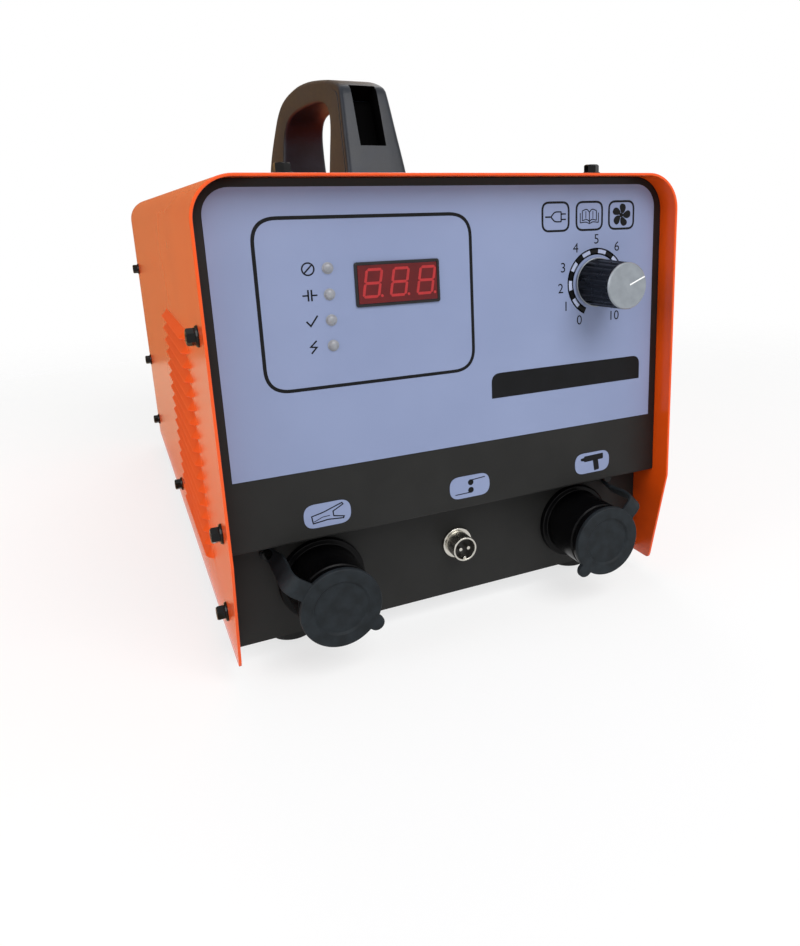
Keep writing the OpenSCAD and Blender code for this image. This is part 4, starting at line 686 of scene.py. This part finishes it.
def number(body, x, z):
    """Digits from the plain built-in letter shapes, made a flat mesh of ink, standing upright at (x, z)."""
    curve = bpy.data.curves.new("number", "FONT")
    curve.body, curve.size, curve.align_x, curve.align_y = body, NUMBER_MM, "CENTER", "CENTER"
    carrier = bpy.data.objects.new("number", curve)
    bpy.context.scene.collection.objects.link(carrier)
    mesh = finished_mesh(carrier)
    flat = np.zeros(len(mesh.vertices) * 3)
    mesh.vertices.foreach_get("co", flat)
    flat = flat.reshape(-1, 3)
    faces = [list(p.vertices) for p in mesh.polygons]
    bpy.data.objects.remove(carrier)
    bpy.data.meshes.remove(mesh)
    return xyz(flat[:, 0] + x, PRINT_Y, flat[:, 1] + z), faces


angles = np.radians(90 + np.array(NUMBER_TURN))
numbers = [number(str(k), KNOB_X + NUMBER_R * math.cos(a), KNOB_Z + NUMBER_R * math.sin(a))
           for k, a in enumerate(angles)]
dial_numbers = piece("dial_numbers", numbers, ink, sheet=NUMBER_T)
print(count(dial_numbers))

# %% [markdown]
# Three pale pills on the black strip carry the signs for the work clamp, the trigger contacts and
# the stud gun, each above its own socket.

# %% Pills and their signs
PILL_T, PILL_Z, PILL_X = 0.25, 82.8, (-88.3, 1.3, 92.2)
PILL_Y = UPPER_Y - PILL_T
pill = box_outline(-13.6, -7.1, 13.6, 7.1, 6.6, 8)
pill_plates = [plate(pill + [x, PILL_Z], PILL_Y, PILL_T) for x in PILL_X]
pills = piece("socket_pills", pill_plates, film)
line_y = PILL_Y - INK
clamp_at, contacts_at, gun_at = (np.array([x, PILL_Z]) for x in PILL_X)
clamp = [[-8.5, -4.2], [-9.2, 0.2], [-2.5, 1.6], [8.6, 5.4], [9.2, 4.4],
         [3.2, 1.2], [3.4, -1.6], [9.4, -3.0], [9.0, -4.0], [0.0, -3.2]]
drawn = [stroke(clamp + clamp_at, 0.7, line_y, True),
         stroke([[-8.0, -3.2], [-3.0, -1.2], [1.2, -1.0]] + clamp_at, 0.45, line_y)]
drawn += [plate(ring_outline(0.6, s * 2.5, 1.9) + contacts_at, line_y) for s in (-1, 1)]
leads = ([[0.6, 3.9], [10.5, 4.6]], [[0.6, -4.0], [-10.0, -4.2]])
drawn += [stroke(lead + contacts_at, 0.6, line_y) for lead in leads]
gun = ([[-6.5, 1.0], [8.6, 1.4], [8.6, 5.4], [-6.5, 5.0]],
       [[-9.2, 2.2], [-6.3, 1.6], [-6.3, 4.2], [-9.2, 3.8]],
       [[0.4, 1.4], [4.6, 1.4], [5.6, -5.6], [1.6, -6.0]])
drawn += [plate(rounded(part + gun_at, 0.6, 3, True), line_y) for part in gun]
pill_signs = piece("pill_signs", drawn, ink)
print(count(pills, pill_signs))

# %% [markdown]
# The display: a slim moulded bezel with a soft edge, the acrylic filter, and three slanted digits
# of seven bars each. A bar is a long hexagon, sheared with the digit.

# %% Display
DISPLAY_MID = np.array([-38.6, 210.4])
outer = box_outline(-24.75, -12.1, 24.75, 12.1, 1.6, 5)
inner = box_outline(-23.2, -10.6, 23.2, 10.6, 0.5, 5)
steps = [(outer, 0.0), (outer, 0.75), (outer * 0.985, 1.0), (inner * 1.008, 1.0), (inner, 0.75), (inner, 0.0)]
rims = [xyz(o[:, 0] + DISPLAY_MID[0], FACE_Y - out, o[:, 1] + DISPLAY_MID[1]) for o, out in steps]
bezel = piece("display_frame", [grid(np.stack(rims, 1), True, True)], bezel_plastic,
              ["display_bezel"])
DIGIT_W, DIGIT_H, BAR, SHEAR, PANE_Y = 8.6, 14.6, 1.5, 0.18, 13.8
DIGIT_LEFT, DIGIT_LOW = (-59.0, -43.4, -27.6), 203.7
BARS = ((0, 0, 1, 0), (0, 0.5, 1, 0.5), (0, 1, 1, 1), (0, 0, 0, 0.5), (0, 0.5, 0, 1), (1, 0, 1, 0.5),
        (1, 0.5, 1, 1))


def seven_bar(u0, v0, u1, v1):
    """One bar of a digit from (u0, v0) to (u1, v1): a hexagon with pointed ends, sheared."""
    p, q = np.array([u0 * DIGIT_W, v0 * DIGIT_H]), np.array([u1 * DIGIT_W, v1 * DIGIT_H])
    t = (q - p) / np.linalg.norm(q - p)
    n = np.array([-t[1], t[0]]) * BAR / 2
    t = t * BAR / 2
    hexagon = np.array([p + t * 0.2, p + t + n, q - t + n, q - t * 0.2, q - t - n, p + t - n])
    return hexagon @ np.array([[1, 0], [SHEAR, 1]])


bars = []
for left in DIGIT_LEFT:
    bars += [plate(seven_bar(*ends) + [left, DIGIT_LOW], PANE_Y - INK) for ends in BARS]
    bars.append(plate(ring_outline(left + DIGIT_W + 2.0, DIGIT_LOW + 0.2, 0.8, 12), PANE_Y - INK))
digits = piece("display_digits", bars, segment_red_painted_glow)
print(count(bezel, digits))

# %% [markdown]
# The four lamps are milky domes with a thin collar. A dome is a profile turned about the lamp's axis.

# %% Lamp domes
DOME_R, DOME_OUT, COLLAR = 2.6, 1.3, 0.5
up_a = np.linspace(0, np.pi / 2, 9)
dome = np.vstack([[[0, FACE_Y], [3.1, FACE_Y], [3.1, FACE_Y - 0.35], [2.75, FACE_Y - COLLAR]],
                  np.stack([DOME_R * np.cos(up_a), FACE_Y - COLLAR - DOME_OUT * np.sin(up_a)], -1)])
lamps = piece("lamp_domes", [lathe(dome, (LAMP_X, z), 40) for z in LAMP_Z], lens_plastic,
              ["indicator_lenses"])
print(count(lamps))

# %% [markdown]
# The dial knob: a fluted black skirt with a bright ring at its foot, and a spun disc let on its end.
# Flutes are a raised cosine taken off the radius round the skirt, faded out at both ends.

# %% Knob
FLUTES, FLUTE_D = 22, 0.75
SKIRT_END, DISC_BACK, BORE_R, HOLLOW_R, HOLLOW_Y = -17.28, -17.3, 3.05, 8.0, 8.0
POINTER_A, POINTER_T = math.radians(22.0), 0.06


def fluted(a, r, y):
    """Radius less a flute: a cosine to the fourth power of the angle, faded at the ends of the skirt."""
    fade = np.clip((y + 16.6) / 0.8, 0, 1) * np.clip((10.6 - y) / 1.0, 0, 1)
    return r - FLUTE_D * fade * np.cos(a * FLUTES / 2) ** 4 * (r > 10)


dial = (KNOB_X, KNOB_Z)
skirt = rounded([[BORE_R, SKIRT_END], [14.05, SKIRT_END], [14.9, KNOB_BASE], [HOLLOW_R, KNOB_BASE],
                 [HOLLOW_R, HOLLOW_Y], [BORE_R, HOLLOW_Y]], [0.1, 0.7, 0.5, 0.2, 0.2, 0.1], 4, True)
long_side = np.stack([np.linspace(14.07, 14.88, 18), np.linspace(-16.5, 13.2, 18)], -1)
skirt = np.vstack([skirt[:10], long_side, skirt[10:]])
knob = piece("knob_skirt", [lathe(skirt, dial, 264, fluted, True)], knob_plastic,
             ["knob_body"], body="knob")
foot_ring = rounded([[14.6, 12.6], [15.35, 12.6], [15.35, 13.7], [14.6, 13.7]], 0.25, 3, True)
ring = piece("knob_foot_ring", [lathe(foot_ring, dial, 120, None, True)], spun, body="knob")
disc_rim = rounded([[13.3, KNOB_FRONT], [14.0, -18.0], [14.0, DISC_BACK], [12.5, DISC_BACK]], 0.3, 4)
disc = np.vstack([[[0, KNOB_FRONT], [6, KNOB_FRONT]], disc_rim, [[0, DISC_BACK]]])
knob_cap = piece("knob_spun_cap", [lathe(disc, dial, 120)], spun, ["knob_cap"], body="knob")
# A thin bright line that tells the setting.
white_paint = finish("pointer_white", "#eef0f0", "#f6f7f7", 4, (0.4, 0.5), 0.6, 0.004)
pointer_path = np.array([[r * math.cos(POINTER_A), r * math.sin(POINTER_A)] for r in (1.6, 7.0, 13.2)]) + dial
pointer_line = stroke(pointer_path, LINE, KNOB_FRONT - POINTER_T, thick=POINTER_T)
pointer = piece("knob_pointer", [pointer_line], white_paint, body="knob")
print(count(knob, ring, knob_cap, pointer))

# %% [markdown]
# Socket housings are turned shapes: a polished barrel with a groove behind its lip, a round flange
# against the panel, a mouth, and the boss that goes through the sheet.

# %% Socket housings
BARREL_R, GROOVE_R, FLANGE_R, MOUTH_R, BOSS_R, CONTACT_R = 22.4, 21.5, 26.0, 18.2, 16.0, 10.05
FLANGE_FRONT, BOSS_END, MOUTH_END = 32.2, 45.7, 20.0
barrel = rounded([[MOUTH_R, RIM_Y], [BARREL_R, RIM_Y], [BARREL_R, 0.2], [GROOVE_R, 0.6], [GROOVE_R, 2.2],
                  [BARREL_R, 2.6], [BARREL_R, FLANGE_FRONT], [FLANGE_R, FLANGE_FRONT], [FLANGE_R, LOWER_Y],
                  [BOSS_R, LOWER_Y], [BOSS_R, BOSS_END], [CONTACT_R, BOSS_END], [CONTACT_R, MOUTH_END],
                  [MOUTH_R, MOUTH_END]],
                 [0.5, 0.9, 0.3, 0.3, 0.3, 0.3, 0.8, 1.0, 0.1, 0.1, 0.3, 0.2, 0.3, 0.3], 4, True)
for hand, (s, _) in STRAPS.items():
    turned_barrel = lathe(barrel, (s * SOCKET_X, SOCKET_Z), 128, None, True)
    housing = piece(f"socket_{hand}_barrel", [turned_barrel], phenolic,
                    [f"socket_{hand}_housing"])
    print(count(housing))

# %% [markdown]
# The dust caps are moulded rubber: a lip round the rim, a shallow dish, a spigot that plugs the
# mouth, and a round pull nib opposite the strap. The nib is a bump on the radius of the turned form.

# %% Dust caps
NIB, NIB_HALF = 5.6, 0.19
cap_lip = [[20.4, -7.95], [22.9, -8.0], [23.5, -7.4], [23.5, -4.9], [23.0, -4.4], [17.2, -4.4],
           [17.2, -0.6], [16.6, 0.0]]
cap_form = np.vstack([[[0, -6.8], [8, -6.8]], rounded([[14.9, -6.8], [16.2, -7.9]], 0.5, 2),
                      rounded(cap_lip, 0.35, 3), [[0, 0.0]]])
for hand, (s, strap_a) in STRAPS.items():
    nib_a = math.radians(strap_a + 180)

    def nibbed(a, r, y):
        """Radius plus half an ellipse about the direction away from the strap, only near the rim."""
        off = np.abs((a - nib_a + np.pi) % (2 * np.pi) - np.pi) / NIB_HALF
        return r + NIB * np.sqrt(np.clip(1 - off ** 2, 0, 1)) * np.clip((r - 21.5) / 1.4, 0, 1)

    turned_cap = lathe(cap_form, (s * SOCKET_X, SOCKET_Z), 360, nibbed)
    dust_cap = piece(f"dust_cap_{hand}", [turned_cap], cap_rubber, [f"socket_{hand}_cap"],
                     body=f"{hand}_dust_cap")
    print(count(dust_cap))

# %% [markdown]
# Each cap hangs on a rubber strap that leaves the rim, bends back beside the barrel and ends in
# a foot under a dark screw. The strap is a rounded section carried along a path.
# with the cap: one end follows the cabinet, the other the cap.

# %% Straps
STRAP_T, STRAP_STEPS, NECK_Y, NECK = 2.0, 72, -6.2, (32.1, 24.1)
strap_path = spline([[21.0, NECK_Y], [24.5, NECK_Y], [28.1, NECK_Y], [31.0, -5.5], [33.3, -2.6],
                     [34.2, 3.0], [33.6, 12.0], [33.2, 21.0], [33.7, 28.5], [35.6, 33.4], [38.8, 35.2],
                     [42.5, 35.2]], STRAP_STEPS)
way = np.gradient(strap_path, axis=0)
way /= np.linalg.norm(way, axis=1, keepdims=True)
normal = np.stack([-way[:, 1], way[:, 0]], -1)
along = np.linspace(0, 1, STRAP_STEPS)
strap_wide = np.interp(along, [0, 0.1, 0.75, 0.86, 1.0], [11.0, 11.0, 10.6, 8.0, 7.4])
strap_wide = strap_wide * np.interp(along, [0, 0.97, 1.0], [1, 1, 0.55])
band = rounded([[-1, -1], [1, -1], [1, 1], [-1, 1]], 0.5, 3, True)
band_half = np.sign(band[:, 0]) * np.maximum(strap_wide[:, None] / 2 - (1 - np.abs(band[:, 0])) * 1.2, 0)
band_flat = strap_path[:, None, :] + normal[:, None, :] * (band[:, 1] * STRAP_T / 2)[None, :, None]
for hand, (s, strap_a) in STRAPS.items():
    c, d = math.cos(math.radians(strap_a)), math.sin(math.radians(strap_a))
    outward, sideways, inward = np.array([c, 0, d]), np.array([-d, 0, c]), np.array([0, 1.0, 0])
    socket = np.array([s * SOCKET_X, 0, SOCKET_Z])
    points = socket + band_flat[..., :1] * outward + band_flat[..., 1:] * inward
    points = points + band_half[..., None] * sideways
    strap = piece(f"cap_strap_{hand}", [grid(with_ends(points), False, True)], cap_rubber,
                  [f"socket_{hand}_strap"], body=None)
    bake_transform(strap)
    print(count(strap))

# %% [markdown]
# The control connector: a nickel shell with fine thread, a wide flange and a bright lip, and
# a small key inside that stops the plug from going in turned.

# %% Connector shell
PLUG_Z, THREAD_R, THREAD_D, SHELL_R, SHELL_IN, COLLAR_R, SHELL_END = 37.6, 7.9, 0.1, 8.0, 6.8, 10.2, 49.7
thread_y = np.linspace(24.0, 33.2, 74)
thread = np.stack([THREAD_R + THREAD_D * np.cos(2 * np.pi * thread_y), thread_y], -1)
lip = rounded([[SHELL_IN, 26.0], [SHELL_IN, 22.2], [SHELL_R, 22.2], [SHELL_R, 23.6]], [0.1, 0.4, 0.4, 0.1], 5)
collar = rounded([[SHELL_R, 33.6], [COLLAR_R, 33.6], [COLLAR_R, LOWER_Y], [SHELL_R, LOWER_Y],
                  [SHELL_R, SHELL_END], [SHELL_IN, SHELL_END]], [0.1, 0.7, 0.2, 0.1, 0.2, 0.1], 4)
key = rounded([[0, 23.2], [1.15, 23.2], [1.15, 30.0], [0, 30.0]], [0.01, 0.4, 0.05, 0.01], 3)
shell_parts = [lathe(np.vstack([lip, thread, collar]), (0, PLUG_Z), 96, None, True),
               lathe(key, (0, PLUG_Z - 6.5), 20)]
shell = piece("connector_threaded_shell", shell_parts, nickel, ["connector_shell"])
print(count(shell))

# %% [markdown]
# Hex flange screws hold the cover. Around the head the radius follows a hexagon, the flat side
# distance over the cosine of the angle to the nearest flat, and the top is chamfered and domed.

# %% Cabinet screws
HEAD_R = 4.6
SIDE_SPOTS = [(23, 189), (23, 80), (45.7, 22), (300.6, 22), (555.5, 22), (557, 194), (557, 92)]
TOP_SPOTS = [(x, y) for x in (-95.0, 95.0) for y in (23, 557)]
head = [[0, 0.4], [5.4, 0.4], [5.8, 0.0], [5.8, -0.7], [5.2, -1.45], [4.65, -1.5], [HEAD_R, -1.6],
        [HEAD_R, -5.2], [4.2, -5.8], [3.6, -6.05], [2.2, -6.1], [1.8, -5.7], [0, -5.6]]


def hexed(a, r, y):
    """Radius cut to a hexagon on the head, left round on the flange and on the small dish in the top."""
    flat = np.minimum(r, HEAD_R) * math.cos(math.pi / 6)
    hexagon = flat / np.cos((a + math.pi / 6) % (math.pi / 3) - math.pi / 6)
    return np.where((y < -1.45) & (r > 3.9), np.minimum(hexagon, r), r)


head_co, head_faces = lathe(head, (0, 0), 72, hexed)
u, out, v = head_co.T
for hand, s in (("left", -1), ("right", 1)):
    heads = [(xyz(s * (COVER_W / 2 - out), y + u, z + v), head_faces) for y, z in SIDE_SPOTS]
    screws = piece(f"flange_screws_{hand}", heads, oxide, [f"cover_screws_{hand}"])
    print(count(screws))
heads = [(xyz(x + u, y + v, COVER_H - out), head_faces) for x, y in TOP_SPOTS]
top_screws = piece("flange_screws_top", heads, oxide, ["cover_screws_top"])
print(count(top_screws))

# %% [markdown]
# The carry handle is one moulding: an arch that is thick at its legs, rounded all round, with
# a deep pocket in the front leg and a groove along both flanks where the two halves of the mould
# meet. Its surface is a rounded section carried along the arch between an outer and an inner line.

# %% Handle: the two lines of the arch
HANDLE_Y, HANDLE_L, HANDLE_H, HANDLE_W = 147.0, 278.0, 85.0, 44.0
outer_line = np.array([[0, 0], [0.02, 0.19], [0.045, 0.4], [0.085, 0.74], [0.105, 0.805], [0.16, 0.862],
                       [0.23, 0.905], [0.35, 0.957], [0.45, 0.988], [0.55, 1], [0.645, 0.985], [0.73, 0.95],
                       [0.785, 0.9], [0.835, 0.81], [0.875, 0.69], [0.915, 0.55], [0.953, 0.39], [0.98, 0.2],
                       [1, 0]]) * [HANDLE_L, HANDLE_H]
inner_line = np.array([[0.2, 0], [0.199, 0.1], [0.197, 0.3], [0.195, 0.48], [0.207, 0.6], [0.24, 0.69],
                       [0.3, 0.74], [0.4, 0.765], [0.5, 0.772], [0.6, 0.765], [0.67, 0.735], [0.715, 0.67],
                       [0.742, 0.56], [0.754, 0.4], [0.761, 0.2], [0.765, 0]]) * [HANDLE_L, HANDLE_H]
POCKET = np.array([0.31, 0.81]) * HANDLE_H
front_leg = spline(outer_line, 400)[:120]
pocket_at = np.interp(POCKET, front_leg[:, 1], np.linspace(0, 1, 400)[:120])
stations = np.sort(np.concatenate([np.linspace(0, 1, 90), pocket_at, pocket_at]))
sunk = (stations >= pocket_at[0] - 1e-12) & (stations <= pocket_at[1] + 1e-12)
sunk[np.flatnonzero(sunk)[[0, -1]]] = False
outer_pts, inner_pts = spline(outer_line, stations), spline(inner_line, stations)
print("handle stations", len(stations), "pocket from", POCKET.round(1), "mm up")

# %% Handle: the section and the surface
ROUND, POCKET_HALF, POCKET_D, GROOVE = 3.2, 9.5, 17.0, 0.8
span = outer_pts - inner_pts
reach = np.linalg.norm(span, axis=1, keepdims=True)
span = span / reach
up_share = outer_pts[:, 1:] / HANDLE_H
half = HANDLE_W / 2 * np.interp(up_share, [0, 0.02, 0.78, 0.92, 1], [1, 1, 0.8, 0.76, 0.74])
turn = np.linspace(0, np.pi / 2, 6)
side_q, deep_q = ROUND * np.sin(turn), ROUND * np.cos(turn)
top_x = np.array([-POCKET_HALF, -POCKET_HALF, 0.0, POCKET_HALF, POCKET_HALF])
top_sunk = np.array([0, 1, 1, 1, 0.0])
groove_b = np.array([1.0, 3.0, 3.3, 4.5, 4.8])
groove_x = np.array([0, 0, GROOVE, GROOVE, 0]) * np.clip((0.24 - stations[:, None]) / 0.05, 0, 1)
sec_x = np.concatenate([np.broadcast_to(top_x, (len(stations), 5)), half - ROUND + side_q, half - groove_x,
                        half - ROUND + side_q[::-1], -half + ROUND - side_q, -half + groove_x[:, ::-1],
                        -half + ROUND - side_q[::-1]], 1)
sec_b = np.concatenate([reach - POCKET_D * sunk[:, None] * top_sunk, reach - ROUND + deep_q,
                        np.maximum(reach - ROUND - groove_b, ROUND), ROUND - deep_q[::-1] + 0 * reach,
                        ROUND - deep_q + 0 * reach, np.maximum(reach - ROUND - groove_b[::-1], ROUND),
                        reach - ROUND + deep_q[::-1]], 1)
arch = xyz(sec_x, HANDLE_Y + inner_pts[:, :1] + span[:, :1] * sec_b,
           np.maximum(COVER_H + inner_pts[:, 1:] + span[:, 1:] * sec_b, COVER_H))
handle = piece("moulded_handle", [grid(with_ends(arch), False, True)], handle_abs,
               ["carry_handle"], sharp=32)
# Painted shade: the faces deep in the front leg's pocket get the near-black pocket finish.
middles = face_middles(handle) - [0, HANDLE_Y, COVER_H]
deep = middles[:, 1] - np.interp(middles[:, 2], front_leg[:, 1], front_leg[:, 0])
inside = (np.abs(middles[:, 0]) < POCKET_HALF + 0.1) & (deep > 2.0) & (deep < POCKET_D + 3)
inside &= (middles[:, 2] > POCKET[0] - 4) & (middles[:, 2] < POCKET[1] + 1)
paint_faces(handle, pocket_painted_shade_abs, inside)
print(count(handle), "of which in the pocket", int(inside.sum()))

# %% [markdown]
# The feet are turned rubber with a soft lower edge and a recess for the screw.

# %% Feet
FOOT_H, FOOT_TOP_R, FOOT_LOW_R, RECESS_R, RECESS_H, HOLE_R = 14.0, 15.0, 13.5, 6.1, 6.0, 2.7
FOOT_SPOTS = [(x, y) for x in (-105.1, 105.1) for y in (65.7, 535.5)]
foot_low = LOW_Z - FOOT_H
foot_form = rounded([[HOLE_R, LOW_Z], [FOOT_TOP_R, LOW_Z], [FOOT_LOW_R, foot_low], [RECESS_R, foot_low],
                     [RECESS_R, foot_low + RECESS_H], [HOLE_R, foot_low + RECESS_H]],
                    [0.1, 0.6, 1.6, 0.6, 0.2, 0.2], 5, True)
foot_co, foot_faces = lathe(foot_form, (0, 0), 64, None, True)
foot_patches = [(foot_co[:, [0, 2, 1]] + [x, y, 0], foot_faces) for x, y in FOOT_SPOTS]
feet = piece("rubber_feet", foot_patches, foot_rubber, ["feet"])
print(count(feet))

# %% [markdown]
# The solids that stay are painted one by one. Everything that the cover hides still gets the
# finish of the real part, because a cap, a fan or a rocker may open a view on it.

# %% Finishes of the solids that stay
stays = {
    zinc_sheet: ["base_tray"], black_coat: ["rear_panel"], acrylic: ["display_window"],
    dull_plastic: ["display_module", "connector_insert", "socket_ring_nuts", "thyristor_module",
                   "rectifier_bridge", "fan_frame", "fan_rotor", "switch_housing", "cable_gland"],
    zinc: ["handle_screws", "foot_screws", "pot_shaft", "potentiometer", "pot_nut", "connector_nut",
           "stud_nuts", "board_standoffs", "clamp_posts", "fan_guard"],
    brass: ["socket_left_contact", "socket_right_contact", "capacitor_terminals", "inlet_fittings"],
    copper: ["busbar_positive", "busbar_negative", "output_bar_left", "output_bar_right", "discharge_bar"],
    nickel: ["connector_pins"], mask_green: ["control_board"], sleeve: ["capacitor_cans"],
    laminate: ["capacitor_clamp"], alu: ["heat_sink"], core_steel: ["transformer_core"],
    tape: ["transformer_coil"], ceramic: ["bleed_resistor"], rocker_red: ["switch_rocker"],
    oxide: ["strap_screws"]}
for paint, names in stays.items():
    for name in names:
        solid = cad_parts[name]
        solid.data.materials.clear()
        solid.data.materials.append(paint)
print("painted", sum(len(v) for v in stays.values()), "solids")

# %% [markdown]
# The stage: a round pale floor that fades out into the white room, so that no horizon cuts the
# picture. Most of what is seen of it is plain white, the rest keeps a soft shadow. A brown card
# stands behind and a sand coloured one lies on the left. Only reflections see them: gloss paint seen
# at a glancing angle mirrors what stands behind it, and without a tone there it washes out.

# %% Floor and cards
FADE, WHITE_SHARE, CARD_Y, SAND_Z = (0.5, 1.4), 0.7, 0.85, 0.002
# Matt pale paint that takes a soft shadow.
floor_finish = finish("painted_studio_floor", "#f1f1f1", "#f5f5f5", 400, (0.7, 0.8), 3.0, 0.0)
# Two dull cards that lend the gloss paint their tone.
card_finish = finish("brown_card", "#ac8759", "#b58f5f", 300, (0.8, 0.9), 2.0, 0.05)
sand_finish = finish("sand_card", "#e0cdab", "#e4d2b0", 300, (0.8, 0.9), 2.0, 0.05)


def sheet_on_stage(name, points, paint):
    """A flat grid of points in metres with one finish, linked into the scene."""
    co, faces = grid(points)
    mesh = bpy.data.meshes.new(name)
    mesh.from_pydata(co.tolist(), [], faces)
    mesh.materials.append(paint)
    made = bpy.data.objects.new(name, mesh)
    bpy.context.scene.collection.objects.link(made)
    return made


def looked_at(tree):
    """1 on rays from the camera, from mirrors and through glass, 0 on all others."""
    ray = add(tree, "ShaderNodeLightPath").outputs
    seen = ray["Is Camera Ray"]
    for kind in ("Is Glossy Ray", "Is Transmission Ray"):
        seen = add(tree, "ShaderNodeMath", {0: seen, 1: ray[kind]}, operation="MAXIMUM").outputs[0]
    return seen


floor_x = np.linspace(-1.5, 1.5, 5)
card_x, card_z = np.linspace(-2.0, 0.4, 5), np.linspace(0, 1.4, 5)
sand_x, sand_y = np.linspace(-2.0, -0.15, 5), np.linspace(-0.3, CARD_Y, 5)
floor = sheet_on_stage("floor", xyz(floor_x[:, None], floor_x, 0.0), floor_finish)
card = sheet_on_stage("card", xyz(card_x[:, None], CARD_Y, card_z), card_finish)
sand = sheet_on_stage("sand", xyz(sand_x[:, None], sand_y, SAND_Z), sand_finish)
for tone in (card, sand):
    tone.visible_camera = tone.visible_diffuse = tone.visible_shadow = tone.visible_transmission = False
floor_nodes = floor_finish.node_tree
floor_place = add(floor_nodes, "ShaderNodeTexCoord").outputs["Object"]
from_middle = add(floor_nodes, "ShaderNodeVectorMath", {0: floor_place}, operation="LENGTH").outputs["Value"]
fade = add(floor_nodes, "ShaderNodeMapRange", {"Value": from_middle}, interpolation_type="SMOOTHSTEP")
fade.inputs["From Min"].default_value, fade.inputs["From Max"].default_value = FADE
part = add(floor_nodes, "ShaderNodeMath", {0: looked_at(floor_nodes)}, operation="MULTIPLY")
part.inputs[1].default_value = WHITE_SHARE
white = add(floor_nodes, "ShaderNodeEmission", Strength=1.0)
painted = floor_nodes.nodes["Principled BSDF"].outputs[0]
lit = add(floor_nodes, "ShaderNodeMixShader", {0: part.outputs[0], 1: painted, 2: white.outputs[0]})
clear = add(floor_nodes, "ShaderNodeBsdfTransparent").outputs[0]
faded = add(floor_nodes, "ShaderNodeMixShader", {0: fade.outputs["Result"], 1: lit.outputs[0], 2: clear})
floor_nodes.links.new(faded.outputs[0], floor_nodes.nodes["Material Output"].inputs["Surface"])
print(floor.name, "fades over", FADE, "m, card stands at", CARD_Y, "m")

# %% [markdown]
# Soft light: a white room, a large key from the upper right front, a weaker box from the left and
# one behind. The camera, mirrors and glass see the room as plain white.

# %% World and lamps
ROOM_LEVEL, SEEN_LEVEL = 0.45, 1.0
world = bpy.data.worlds.new("studio")
bpy.context.scene.world = world
world.use_nodes = True
room_nodes = world.node_tree
level = add(room_nodes, "ShaderNodeMapRange", {"Value": looked_at(room_nodes)})
level.inputs["To Min"].default_value, level.inputs["To Max"].default_value = ROOM_LEVEL, SEEN_LEVEL
back = room_nodes.nodes["Background"]
back.inputs["Color"].default_value = (1, 1, 1, 1)
room_nodes.links.new(level.outputs["Result"], back.inputs["Strength"])


def lamp(name, at, aim, size, power):
    """A square soft box at a place in metres, turned to its aim."""
    light = bpy.data.lights.new(name, "AREA")
    light.size, light.energy = size, power
    made = bpy.data.objects.new(name, light)
    bpy.context.scene.collection.objects.link(made)
    z = np.array(at, float) - np.array(aim, float)
    z /= np.linalg.norm(z)
    x = np.cross([0, 0, 1.0], z)
    x /= np.linalg.norm(x)
    m = np.eye(4)
    m[:3, 0], m[:3, 1], m[:3, 2], m[:3, 3] = x, np.cross(z, x), z, at
    made.matrix_world = m.T.tolist()


lamp("key", (0.3, -1.65, 1.6), (0, -0.2, 0.15), 1.3, 33.0)
lamp("left", (-1.9, -0.5, 0.9), (0, 0, 0.15), 1.2, 16.0)
lamp("rear", (0.4, 2.0, 1.8), (0, 0.1, 0.2), 1.4, 14.0)
bpy.context.scene.view_settings.view_transform = "Standard"
